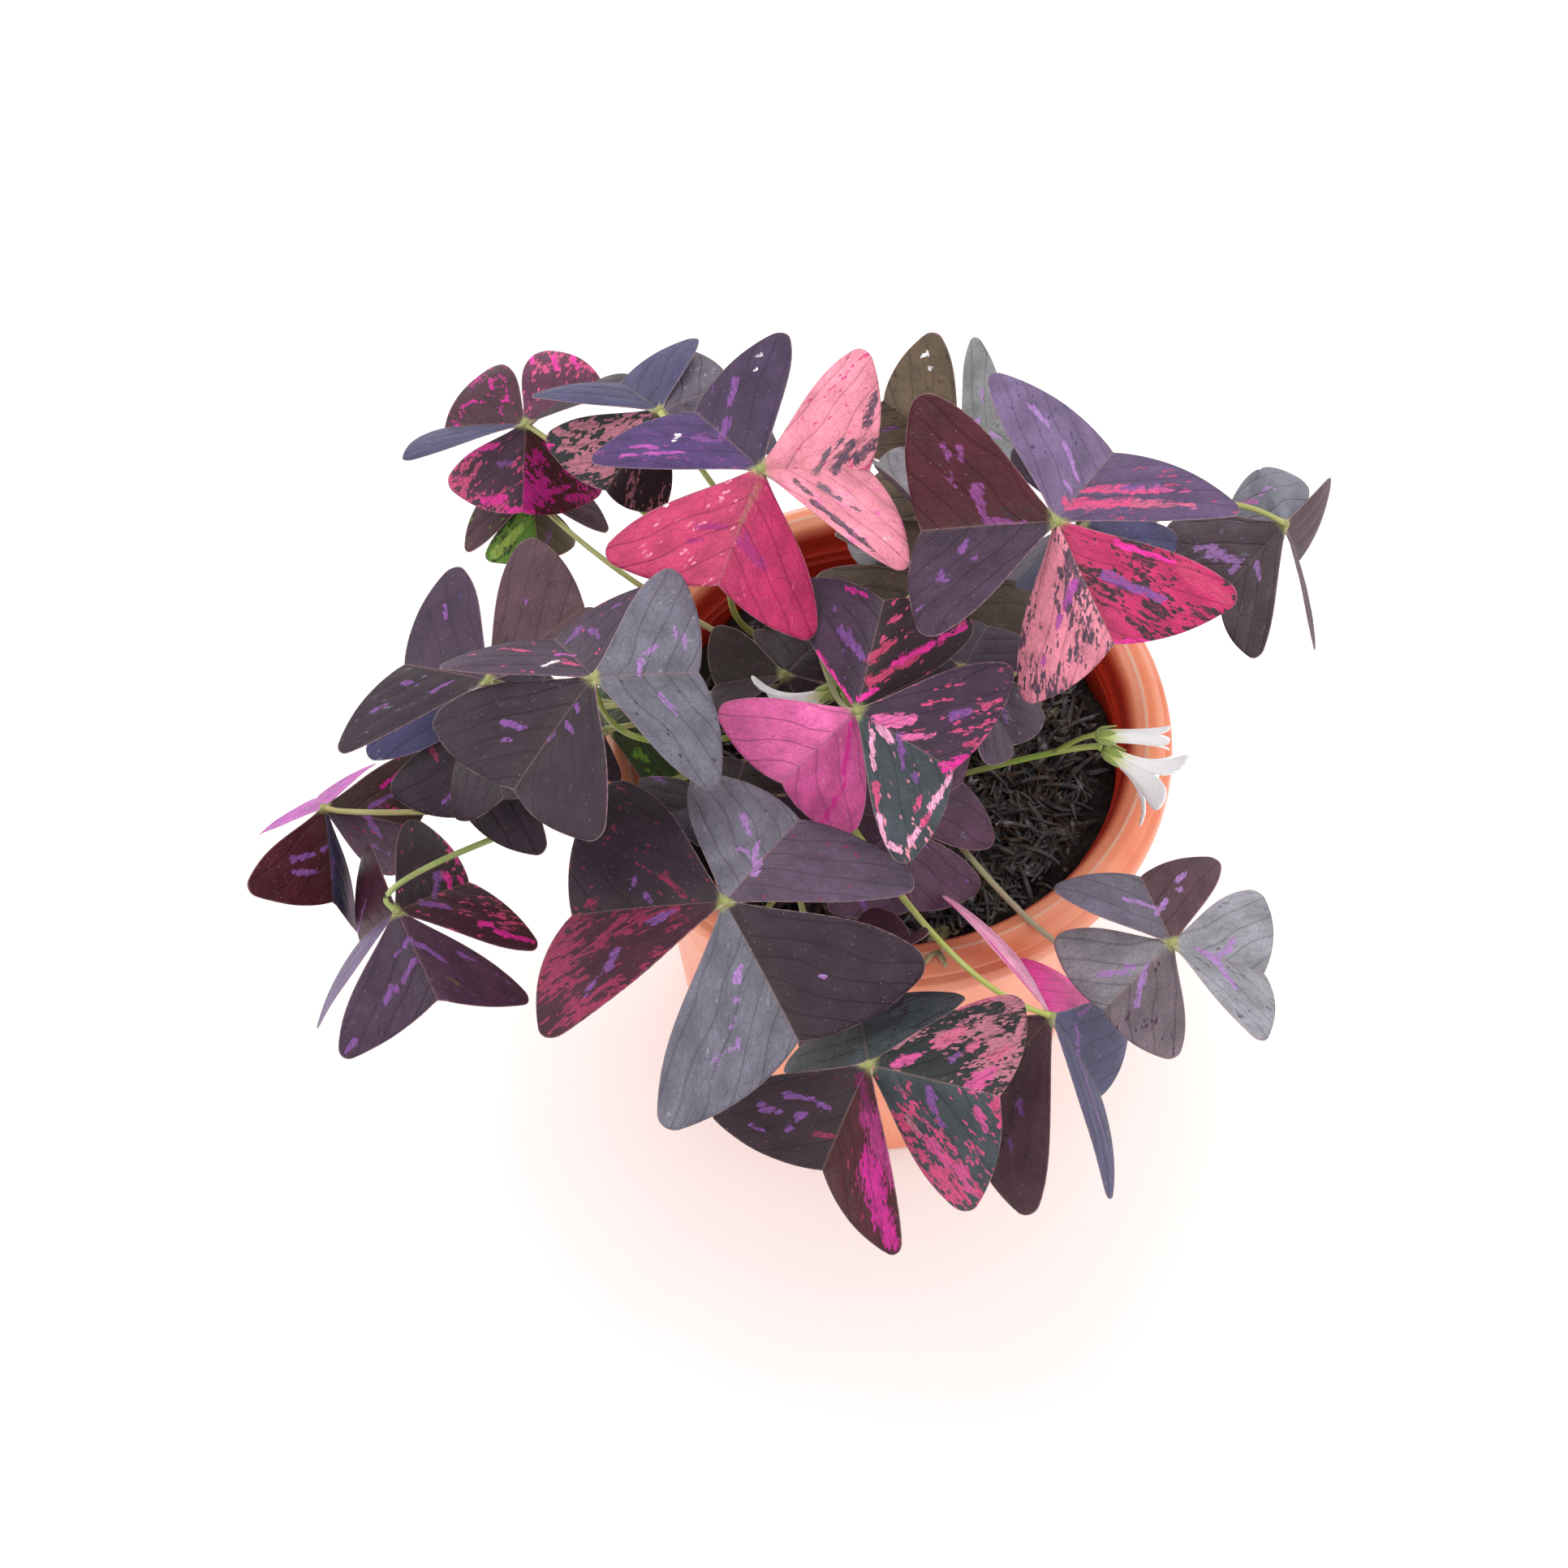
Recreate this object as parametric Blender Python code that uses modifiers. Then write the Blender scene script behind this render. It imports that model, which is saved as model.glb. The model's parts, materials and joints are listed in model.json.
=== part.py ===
"""A variegated purple shamrock in full leaf, growing in a plain plastic pot.

The frame is in metres with +Z up. The origin is the centre of the pot's flat base, +X is the
viewer's right and -Y the viewer's side. Sizes below are in millimetres and degrees, and MM turns
them to metres.
"""

import math

import bmesh
import bpy
import numpy as np
from mathutils import Euler, Matrix, Vector

MM = 0.001
GAP = 0.3

# ---- Pot: injection-moulded terracotta-coloured plastic, 130 mm across its rolled rim ----
POT_HEIGHT = 127.0
RIM_RADIUS = 65.0
SEAM_RADIUS = 58.7
MOUTH_RADIUS = 54.0
BASE_RADIUS = 46.5
WALL = 2.5
SKIRT_DEPTH = 10.5
SKIRT_WALL = 2.0
RING_DROPS = (8.5, 11.7)
RING_HEIGHT = 0.6
POT_SIDES = 32
DRAIN_HOLES = 6
DRAIN_RADIUS = 4.0
DRAIN_CIRCLE = 29.0

# ---- Soil: charred husk and fibre, filled to 17 mm below the rim ----
SOIL_TOP = 110.0
SOIL_RELIEF = 1.4
SOIL_SIDES = 24
HOLE_DEPTH = 6.0
STEM_HOLE_RADIUS = 1.5

# ---- Leaves: three two-lobed leaflets on one stalk ----
BLADE = 0.7
NOTCH = 0.70
TIP_ROUND = 0.085
SIDE_BOW = 0.055
MARGIN_BOW = 0.08
SAG = 0.08
ARCH = 0.03
HALF_NECK = 0.8
HUB_RADIUS = 1.5
STALK_BASE_RADIUS = 1.0
STALK_TOP_RADIUS = 0.65
STALK_STEPS = 7
STRAIGHT = 2.0

# Colours of the leaves and of the rest, as the real surfaces look in daylight (linear RGB).
TONES = {
    "aubergine": (0.036, 0.014, 0.026),
    "slate": (0.085, 0.070, 0.090),
    "wine": (0.090, 0.012, 0.040),
    "rose": (0.480, 0.070, 0.150),
    "olive": (0.050, 0.036, 0.018),
    "leaf_green": (0.100, 0.150, 0.040),
    "stalk_green": (0.330, 0.380, 0.130),
    "petal_white": (0.820, 0.800, 0.840),
    "terracotta": (0.560, 0.130, 0.050),
    "soil": (0.012, 0.009, 0.008),
}

# Each leaf: its place in the plant; tone; where the three leaflets meet (x, y, z); where its stalk
# leaves the soil (x, y); the stalk's rise from the soil, then the way it comes into the knob (x, y, z);
# the leaflets' length from hub to lobe tip; and for each leaflet its heading, pitch, roll, fold along
# the midrib (all in 5 degree steps) and the half angle between its lobes.
LEAVES = {
    "far_left_back": ("wine", (-81, 55, 166), (-7, 6), (22, -31, 20, 9), 30,
                      ((165, -20, 25, -10, 51), (40, 0, -35, -10, 48), (265, -50, -5, 40, 48))),
    "left_back": ("aubergine", (-50, 38, 195), (0, -21), (55, -9, 16, -1), 31,
                  ((120, -30, 5, -10, 39), (225, -40, -35, 45, 42), (40, -20, 5, 25, 33))),
    "back_centre": ("rose", (-28, 9, 215), (-22, 20), (33, 18, -8, 92), 37,
                    ((125, -15, -5, -10, 42), (250, -20, -25, 10, 39), (15, -20, 15, -15, 42))),
    "back": ("olive", (17, 59, 150), (8, -3), (35, -13, 23, 26), 31,
             ((145, 5, -45, 40, 42), (55, -20, 45, 5, 33), (220, -45, 20, 0, 36))),
    "back_right": ("wine", (33, -4, 215), (16, 5), (42, -25, 4, 46), 40,
                   ((180, -5, -5, -15, 45), (60, -15, 5, -10, 48), (295, -20, 30, 25, 42))),
    "far_right": ("aubergine", (86, 22, 175), (21, 7), (6, 34, -11, -17), 32,
                  ((215, -40, 20, -10, 45), (100, -20, -15, 55, 27), (30, -70, 40, -15, 39))),
    "left_top": ("slate", (-61, -46, 222), (-1, 11), (19, 0, -14, 80), 39,
                 ((115, -35, 0, -5, 36), (230, -20, 25, -5, 48), (25, -30, 25, 15, 36))),
    "left": ("aubergine", (-85, -24, 185), (-13, 6), (14, -30, -20, 50), 36,
             ((35, 20, -30, -15, 45), (150, -25, -5, -5, 42), (275, -20, 65, 0, 48))),
    "left_low": ("aubergine", (-86, -18, 161), (-10, 17), (11, -30, 3, -7), 33,
                 ((40, -30, 0, 15, 42), (250, -35, 25, 0, 42), (150, -10, 5, 45, 33))),
    "far_left": ("wine", (-124, -28, 138), (-8, -18), (16, -10, 5, -4), 31,
                 ((0, -25, 40, 45, 39), (280, -10, -60, 20, 45), (110, -50, -15, 5, 27))),
    "far_left_front": ("wine", (-106, -58, 146), (-5, -1), (25, 9, -5, -7), 34,
                       ((45, -30, 5, 5, 36), (295, 5, -10, 25, 42), (160, -60, -10, -10, 39))),
    "centre": ("rose", (-8, -35, 191), (-20, 23), (85, 8, -13, 23), 34,
               ((75, 25, 5, 35, 42), (210, -40, -35, 30, 39), (335, -20, 15, -15, 45))),
    "front_top": ("slate", (-35, -81, 193), (-5, -8), (35, -2, -6, 62), 47,
                  ((60, -20, 0, 15, 33), (175, -15, 15, -5, 48), (305, -35, 0, 5, 42))),
    "front": ("wine", (-6, -106, 170), (-16, -10), (31, -16, -12, 60), 39,
              ((345, 0, 20, 40, 48), (235, -50, 10, -15, 42), (95, -35, -20, 25, 33))),
    "front_right": ("aubergine", (33, -85, 150), (-22, -8), (52, 31, -4, -12), 42,
                    ((100, -35, 45, 0, 27), (220, -35, 20, 5, 39), (335, -60, -20, -5, 33))),
    "right_front": ("slate", (58, -73, 160), (-9, -7), (70, 20, -10, 76), 30,
                    ((105, -15, 5, 5, 36), (215, -35, -20, 35, 45), (350, -15, -20, -5, 48))),
    "inner_front": ("aubergine", (2, -40, 152), (-1, 7), (3, 0, -24, -3), 27,
                    ((280, -35, 0, 35, 48), (40, -10, 60, -10, 36), (140, -35, -55, -15, 39))),
    "inner_left": ("olive", (-23, -1, 150), (0, -2), (18, -15, 1, 36), 22,
                   ((185, -5, 20, -15, 48), (300, -25, 0, 15, 42), (60, -25, 0, 15, 42))),
    "inner_right": ("aubergine", (15, -16, 177), (4, 0), (18, 8, -12, 55), 28,
                    ((310, -25, -45, -5, 48), (70, -25, 0, 15, 42), (190, -25, 0, 15, 42))),
    "inner_back_right": ("olive", (10, 14, 166), (-8, -30), (37, 20, 27, -19), 34,
                         ((320, -40, 25, 45, 48), (85, -25, 5, 15, 42), (205, -25, 5, 15, 42))),
    "inner_back": ("olive", (11, 37, 153), (3, 17), (10, 6, 16, 1), 27,
                   ((205, -30, -30, 55, 39), (135, 15, 50, -15, 48), (350, -30, 0, 15, 42))),
    "right_back": ("aubergine", (41, 16, 185), (12, -9), (24, -8, -7, 36), 27,
                   ((145, 20, 65, -10, 39), (215, -20, 55, 0, 48), (330, -25, -5, 15, 39))),
    "inner_front_left": ("aubergine", (-34, -40, 163), (-13, -3), (23, 0, -1, 35), 22,
                         ((200, 15, 30, 0, 48), (320, -25, 0, 15, 42), (80, -25, 0, 15, 42))),
    "left_back_low": ("leaf_green", (-81, 53, 140), (-13, 15), (12, -32, 40, -6), 20,
                      ((280, -45, -10, 40, 42), (40, -25, 0, 15, 42), (160, -25, 0, 15, 42))),
    "front_low": ("wine", (-10, -78, 150), (2, 13), (13, 26, -28, -13), 25,
                  ((40, 10, -50, -15, 45), (260, -50, -10, 60, 33), (150, -30, 0, 15, 42))),
    "left_inner_low": ("leaf_green", (-62, -11, 143), (-19, 2), (25, -6, 1, -4), 30,
                       ((5, -20, 20, 30, 36), (200, -15, 30, 5, 36), (105, -30, 0, 15, 42))),
}

# ---- Flowers: white five-lobed funnels, each on its own thin stalk ----
# Each: foot of the bloom (x, y, z), stalk's root (x, y), stalk's rise and its run in along the bloom's
# axis, and the bloom's heading and pitch. The right stalk forks to a second bloom, still half closed.
FLOWERS = {
    "right": ((47, -19, 148), (-13, -15), (3, 4), (335, -20)),
    "centre": ((-12, -16, 168), (-3, -4), (7, 7), (195, -20)),
}
SECOND_BLOOMS = {"right": ((45, -19, 154), (355, 5))}
SECOND_RADIUS = 2.6
FORK_STEP = 6
BLOOM_LENGTH = 19.0
BLOOM_RADIUS = 10.0
THROAT_RADIUS = 1.3
LOBES = 5
LOBE_CUT = 0.42
PETAL = 0.7
FLOWER_STALK_RADIUS = 0.75


def clear_scene():
    """Take away whatever the file opened with."""
    for thing in list(bpy.data.objects):
        bpy.data.objects.remove(thing, do_unlink=True)


def new_collection(name):
    collection = bpy.data.collections.new(name)
    bpy.context.scene.collection.children.link(collection)
    return collection


def material(name, tone, roughness):
    """A Principled material of one tone, made once for each name."""
    found = bpy.data.materials.get(name)
    if found:
        return found
    made = bpy.data.materials.new(name)
    made.use_nodes = True
    shader = made.node_tree.nodes["Principled BSDF"]
    shader.inputs["Base Color"].default_value = (*TONES[tone], 1.0)
    shader.inputs["Roughness"].default_value = roughness
    shader.inputs["Metallic"].default_value = 0.0
    return made


def mesh_object(name, points, faces, collection):
    """An object from points in millimetres and a list of faces."""
    mesh = bpy.data.meshes.new(name)
    mesh.from_pydata([tuple(p) for p in np.asarray(points) * MM], [], faces)
    mesh.update()
    thing = bpy.data.objects.new(name, mesh)
    collection.objects.link(thing)
    return thing


def applied(thing):
    """Replace an object's mesh or curve by the mesh that its modifiers give, in place."""
    bpy.context.view_layer.update()
    graph = bpy.context.evaluated_depsgraph_get()
    mesh = bpy.data.meshes.new_from_object(thing.evaluated_get(graph))
    name = thing.name
    collection = thing.users_collection[0]
    matrix = thing.matrix_world.copy()
    bpy.data.objects.remove(thing, do_unlink=True)
    made = bpy.data.objects.new(name, mesh)
    mesh.name = name
    made.matrix_world = matrix
    collection.objects.link(made)
    return made


def finish(thing, skin, smooth_angle=40.0):
    thing.data.materials.clear()
    thing.data.materials.append(skin)
    thing.data.shade_smooth()
    thing.data.set_sharp_from_angle(angle=math.radians(smooth_angle))


def turned(name, profile, collection, sides):
    """A shape turned round Z from (radius, height) points, which run down its outer side."""
    points = [(r, 0.0, z) for r, z in profile]
    edges = [(i, i + 1) for i in range(len(points) - 1)]
    mesh = bpy.data.meshes.new(name)
    mesh.from_pydata([tuple(v * MM for v in p) for p in points], edges, [])
    thing = bpy.data.objects.new(name, mesh)
    collection.objects.link(thing)
    screw = thing.modifiers.new("turn", "SCREW")
    screw.steps = sides
    screw.render_steps = sides
    screw.use_merge_vertices = True
    screw.merge_threshold = 0.00001
    return thing


def inner_radius(height):
    """The pot's inner wall, straight from the floor to the mouth."""
    mouth_height = POT_HEIGHT - 6.0
    share = height / mouth_height
    return BASE_RADIUS - WALL + (MOUTH_RADIUS - BASE_RADIUS + WALL) * share


def pot_profile():
    """Floor, inner wall with two fine raised rings, rounded mouth, seam, rolled rim, skirt, body."""
    top = POT_HEIGHT
    profile = [(0.0, WALL), (inner_radius(WALL), WALL)]
    for drop in reversed(RING_DROPS):
        height = top - drop
        radius = inner_radius(height)
        profile += [(radius, height - RING_HEIGHT), (radius - RING_HEIGHT, height)]
        profile += [(radius, height + RING_HEIGHT)]
    profile += [
        (MOUTH_RADIUS, top - 6.0),
        (MOUTH_RADIUS + 0.9, top - 2.6),
        (MOUTH_RADIUS + 2.4, top - 0.8),
        (SEAM_RADIUS, top),
        (SEAM_RADIUS + 2.6, top - 1.0),
        (RIM_RADIUS - 1.8, top - 3.2),
        (RIM_RADIUS - 0.4, top - 4.6),
        (RIM_RADIUS, top - 7.0),
        (RIM_RADIUS - 1.2, top - SKIRT_DEPTH),
        (RIM_RADIUS - 1.2 - SKIRT_WALL, top - SKIRT_DEPTH),
        (RIM_RADIUS - 1.6 - SKIRT_WALL, top - 6.0),
        (MOUTH_RADIUS + WALL + 0.4, top - 6.0),
        (BASE_RADIUS + 0.6, 4.0),
        (BASE_RADIUS + 0.6, 1.0),
        (BASE_RADIUS, 0.0),
        (0.0, 0.0),
    ]
    return profile


def cylinder(name, radius, low, high, collection, sides, place=(0.0, 0.0)):
    """An upright cylinder between two heights, from two rings and their caps."""
    angles = np.arange(sides) * (2.0 * math.pi / sides)
    ring = np.stack([place[0] + radius * np.cos(angles), place[1] + radius * np.sin(angles)], axis=1)
    bottom = np.column_stack([ring, np.full(sides, low)])
    top = np.column_stack([ring, np.full(sides, high)])
    faces = [(i, (i + 1) % sides, sides + (i + 1) % sides, sides + i) for i in range(sides)]
    faces += [tuple(reversed(range(sides))), tuple(range(sides, 2 * sides))]
    thing = mesh_object(name, np.vstack([bottom, top]), faces, collection)
    thing.hide_render = True
    thing.display_type = "WIRE"
    return thing


def boolean(thing, operation, collection):
    """Cut with, or join, all the objects of a collection, and then remove them."""
    modifier = thing.modifiers.new(operation.lower(), "BOOLEAN")
    modifier.operation = operation
    modifier.operand_type = "COLLECTION"
    modifier.collection = collection
    modifier.solver = "EXACT"
    made = applied(thing)
    for used in list(collection.objects):
        bpy.data.objects.remove(used, do_unlink=True)
    return made


def build_pot(parts, cutters):
    pot = turned("pot", pot_profile(), parts, POT_SIDES)
    for i in range(DRAIN_HOLES):
        angle = 2.0 * math.pi * (i + 0.5) / DRAIN_HOLES
        place = (DRAIN_CIRCLE * math.cos(angle), DRAIN_CIRCLE * math.sin(angle))
        cylinder(f"drain_{i}", DRAIN_RADIUS, -2.0, WALL + 2.0, cutters, 12, place)
    pot = boolean(pot, "DIFFERENCE", cutters)
    finish(pot, material("terracotta_plastic", "terracotta", 0.35), 30.0)


def soil_height(x, y):
    """The soil's uneven top: three crossed waves of unlike lengths, in millimetres."""
    waves = np.sin(0.31 * x + 0.17 * y) + np.sin(0.23 * y - 0.29 * x + 1.3) + np.sin(0.47 * y + 0.9)
    return SOIL_TOP + SOIL_RELIEF * waves / 3.0


def build_soil(parts, cutters):
    floor = WALL + GAP
    edge = inner_radius(SOIL_TOP) - GAP - 0.2
    rings = [0.0, 11.0, 22.0, 32.0, 42.0, edge]
    profile = [(r, SOIL_TOP) for r in rings]
    profile += [(inner_radius(floor) - GAP - 0.2, floor), (0.0, floor)]
    soil = applied(turned("soil", profile, parts, SOIL_SIDES))
    count = len(soil.data.vertices)
    points = np.empty(count * 3)
    soil.data.vertices.foreach_get("co", points)
    points = points.reshape(count, 3)
    top = points[:, 2] > (SOIL_TOP - 1.0) * MM
    points[top, 2] = soil_height(points[top, 0] / MM, points[top, 1] / MM) * MM
    soil.data.vertices.foreach_set("co", points.ravel())
    roots = [leaf[2] for leaf in LEAVES.values()] + [flower[1] for flower in FLOWERS.values()]
    for i, root in enumerate(roots):
        low = SOIL_TOP - HOLE_DEPTH
        cylinder(f"stem_hole_{i}", STEM_HOLE_RADIUS, low, SOIL_TOP + 6.0, cutters, 7, root)
    soil = boolean(soil, "DIFFERENCE", cutters)
    finish(soil, material("husk_soil", "soil", 0.95), 60.0)


def stalk_line(root, top, rise, arrival, stop_short):
    """Points of a stalk: straight up out of its hole, then one Bezier that ends short of its top."""
    low = SOIL_TOP - HOLE_DEPTH + 2.0 * GAP
    start = np.array([root[0], root[1], SOIL_TOP + STRAIGHT])
    end = np.array(top, float) - arrival / np.linalg.norm(arrival) * stop_short
    line = [np.array([root[0], root[1], low])]
    for step in range(STALK_STEPS + 1):
        t = step / STALK_STEPS
        point = (1.0 - t) ** 3 * start + 3.0 * t * (1.0 - t) ** 2 * (start + np.array([0.0, 0.0, rise]))
        point = point + 3.0 * t**2 * (1.0 - t) * (end - arrival) + t**3 * end
        line.append(point)
    return np.array(line)


def stalk(name, line, radii, collection):
    """A round stalk along a line, as a bevelled curve turned to a mesh."""
    curve = bpy.data.curves.new(name, "CURVE")
    curve.dimensions = "3D"
    curve.bevel_depth = radii[0] * MM
    curve.bevel_resolution = 1
    curve.use_fill_caps = True
    spline = curve.splines.new("POLY")
    spline.points.add(len(line) - 1)
    for i, point in enumerate(line):
        spline.points[i].co = (*(point * MM), 1.0)
        share = i / (len(line) - 1)
        spline.points[i].radius = 1.0 + share * (radii[1] / radii[0] - 1.0)
    thing = bpy.data.objects.new(name, curve)
    collection.objects.link(thing)
    made = applied(thing)
    weld(made)
    return made


def weld(thing):
    """Join the caps of a converted curve to its sides."""
    work = bmesh.new()
    work.from_mesh(thing.data)
    bmesh.ops.remove_doubles(work, verts=work.verts, dist=0.00001)
    bmesh.ops.recalc_face_normals(work, faces=work.faces)
    work.to_mesh(thing.data)
    work.free()


def half_margin(share, length, spread):
    """One lobe's outer margin at 0..1: a bowed line from the notch, then the round of the tip."""
    angle = math.radians(spread)
    tip_radius = TIP_ROUND * length
    centre = (length - tip_radius) * np.array([math.cos(angle), math.sin(angle)])
    low = math.radians(20.0)
    high = angle + math.radians(69.0)
    notch = np.array([NOTCH * length, 0.0])
    meet = centre + tip_radius * np.array([math.cos(low), math.sin(low)])
    along = meet - notch
    out = np.array([along[1], -along[0]])
    if share <= 0.6:
        u = share / 0.6
        return notch + along * u + out * (MARGIN_BOW * 4.0 * u * (1.0 - u))
    turn = low + (high - low) * (share - 0.6) / 0.4
    return centre + tip_radius * np.array([math.cos(turn), math.sin(turn)])


def half_point(s, t, length, spread):
    """A point of the flat half leaflet: s runs out from the hub and t from the midrib to the side.

    It is the patch between the midrib, the bowed side edge and the outer margin.
    """
    notch = half_margin(0.0, length, spread)
    corner = half_margin(1.0, length, spread)
    neck = np.array([0.0, HALF_NECK])
    along = corner - neck
    out = np.array([-along[1], along[0]])
    side = neck + along * s + out * (SIDE_BOW * 6.75 * s * s * (1.0 - s))
    outer = half_margin(t, length, spread) - (1.0 - t) * notch - t * corner
    return (1.0 - t) * notch * s + t * side + s * outer


def blade_points(length, fold, spread, rows, columns):
    """The leaflet's surface points in its own frame: folded along the midrib, sagging, arched."""
    points = []
    for s in rows:
        for t in columns:
            x, y = half_point(s, abs(t), length, spread)
            share = y / (0.68 * length)
            bulge = ARCH * length * 4.0 * share * (1.0 - share) * min(1.0, 1.4 * x / length)
            bend = math.radians(fold)
            z = bulge - y * math.sin(bend) - SAG * length * (x / length) ** 2
            points.append((x, math.copysign(y * math.cos(bend), t), z))
    return points


def blade_mesh():
    """Rows, columns and triangles of a leaflet: a fan at the neck, then one strip of pairs."""
    columns = (-1.0, -0.8, -0.6, -0.3, 0.0, 0.3, 0.6, 0.8, 1.0)
    faces = []
    neck, inner, outer = (0, 1, 2), list(range(3, 12)), list(range(12, 21))
    for i in range(8):
        low, high = (0, 1) if i < 4 else (1, 2)
        hinge = neck[low] if i in (0, 1, 4, 5) else neck[high]
        if i == 2:
            faces.append((neck[0], neck[1], inner[2]))
        if i == 6:
            faces.append((neck[1], neck[2], inner[6]))
        faces.append((hinge, inner[i + 1], inner[i]))
    for i in range(8):
        if i < 4:
            faces += [(inner[i], inner[i + 1], outer[i]), (inner[i + 1], outer[i + 1], outer[i])]
        else:
            faces += [(inner[i], outer[i + 1], outer[i]), (inner[i], inner[i + 1], outer[i + 1])]
    return columns, faces


def leaflet(name, length, pose, collection):
    """One leaflet as a closed blade, its neck at the origin and its midrib along the heading."""
    heading, pitch, roll, fold, spread = pose
    columns, faces = blade_mesh()
    points = blade_points(length, fold, spread, (0.0,), (-1.0, 0.0, 1.0))
    points += blade_points(length, fold, spread, (0.5, 1.0), columns)
    thing = mesh_object(name, points, faces, collection)
    turn = Matrix.Rotation(math.radians(heading), 4, "Z")
    turn @= Matrix.Rotation(math.radians(-pitch), 4, "Y")
    turn @= Matrix.Rotation(math.radians(roll), 4, "X")
    thing.data.transform(turn)
    skin = thing.modifiers.new("thickness", "SOLIDIFY")
    skin.thickness = BLADE * MM
    skin.offset = 0.0
    skin.use_even_offset = True
    skin.thickness_clamp = 0.0
    return applied(thing)


def hub(name, collection):
    """The small knob where the three leaflets meet."""
    work = bmesh.new()
    bmesh.ops.create_icosphere(work, subdivisions=1, radius=HUB_RADIUS * MM)
    mesh = bpy.data.meshes.new(name)
    work.to_mesh(mesh)
    work.free()
    thing = bpy.data.objects.new(name, mesh)
    collection.objects.link(thing)
    return thing


def build_leaf(place, leaf, parts, joined):
    tone, centre, root, reach, length, poses = leaf
    body = hub(f"leaf_{place}", parts)
    for i, pose in enumerate(poses):
        leaflet(f"leaflet_{place}_{i}", length, pose, joined)
    body = boolean(body, "UNION", joined)
    body.data.transform(Matrix.Translation(Vector(centre) * MM))
    finish(body, material(f"leaf_{tone}", tone, 0.5), 50.0)
    rise, *arrival = reach
    line = stalk_line(root, centre, rise, np.array(arrival, float), HUB_RADIUS + 0.8)
    stem = stalk(f"stalk_{place}", line, (STALK_BASE_RADIUS, STALK_TOP_RADIUS), parts)
    finish(stem, material("leaf_stalk", "stalk_green", 0.45), 60.0)


def bloom_points(steps, rows, mouth):
    """The corolla's surface about +X: a narrow throat that flares, its rim cut in five lobes."""
    points = []
    for row in rows:
        for step in range(steps):
            angle = 2.0 * math.pi * step / steps
            lobe = abs(math.cos(0.5 * LOBES * angle)) ** 0.7
            s = row * (1.0 - LOBE_CUT + LOBE_CUT * lobe)
            radius = THROAT_RADIUS + (mouth - THROAT_RADIUS) * s**2.4
            along = BLOOM_LENGTH * (s - 0.18 * s**4)
            points.append((along, radius * math.cos(angle), radius * math.sin(angle)))
    return points


def bloom(name, foot, pose, mouth, collection):
    """One corolla with its foot in place; gives the way that it faces."""
    heading, pitch = pose
    steps = 4 * LOBES
    rows = (0.0, 0.35, 0.7, 1.0)
    faces = []
    for row in range(len(rows) - 1):
        for step in range(steps):
            a = row * steps + step
            b = row * steps + (step + 1) % steps
            faces += [(a, b, b + steps), (a, b + steps, a + steps)]
    thing = mesh_object(name, bloom_points(steps, rows, mouth), faces, collection)
    skin = thing.modifiers.new("thickness", "SOLIDIFY")
    skin.thickness = PETAL * MM
    skin.offset = 0.0
    skin.use_even_offset = True
    thing = applied(thing)
    turn = Euler((0.0, math.radians(-pitch), math.radians(heading))).to_matrix().to_4x4()
    thing.data.transform(Matrix.Translation(Vector(foot) * MM) @ turn)
    finish(thing, material("petal", "petal_white", 0.5), 50.0)
    return np.array(turn @ Vector((1.0, 0.0, 0.0)))


def fork_line(start, foot, facing):
    """A short curve off the main stalk that runs out along the second bloom's axis."""
    end = np.array(foot, float) - facing * 3.0 * GAP
    line = []
    for step in range(5):
        t = step / 4.0
        line.append((1.0 - t) ** 2 * start + 2.0 * t * (1.0 - t) * (end - facing * 3.0) + t**2 * end)
    return np.array(line)


def build_flower(place, flower, parts, joined):
    foot, root, (rise, run_in), pose = flower
    facing = bloom(f"bloom_{place}", foot, pose, BLOOM_RADIUS, parts)
    line = stalk_line(root, foot, rise, facing * run_in, 3.0 * GAP)
    radii = (FLOWER_STALK_RADIUS, FLOWER_STALK_RADIUS * 1.2)
    stem = stalk(f"flower_stalk_{place}", line, radii, parts)
    if place in SECOND_BLOOMS:
        second, turned_to = SECOND_BLOOMS[place]
        facing = bloom(f"bloom_{place}_half_open", second, turned_to, SECOND_RADIUS, parts)
        fork = fork_line(line[FORK_STEP], second, facing)
        stalk(f"fork_{place}", fork, (FLOWER_STALK_RADIUS, FLOWER_STALK_RADIUS), joined)
        stem = boolean(stem, "UNION", joined)
    finish(stem, material("leaf_stalk", "stalk_green", 0.45), 60.0)


def build():
    clear_scene()
    parts = new_collection("purple_shamrock")
    cutters = new_collection("cutters")
    joined = new_collection("joined")
    build_pot(parts, cutters)
    build_soil(parts, cutters)
    for place, leaf in LEAVES.items():
        build_leaf(place, leaf, parts, joined)
    for place, flower in FLOWERS.items():
        build_flower(place, flower, parts, joined)


build()
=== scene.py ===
"""A variegated purple shamrock (Oxalis triangularis) in a terracotta-coloured plastic nursery pot."""

import json
import math

import bpy
import numpy as np
from mathutils import Matrix, Vector

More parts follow.
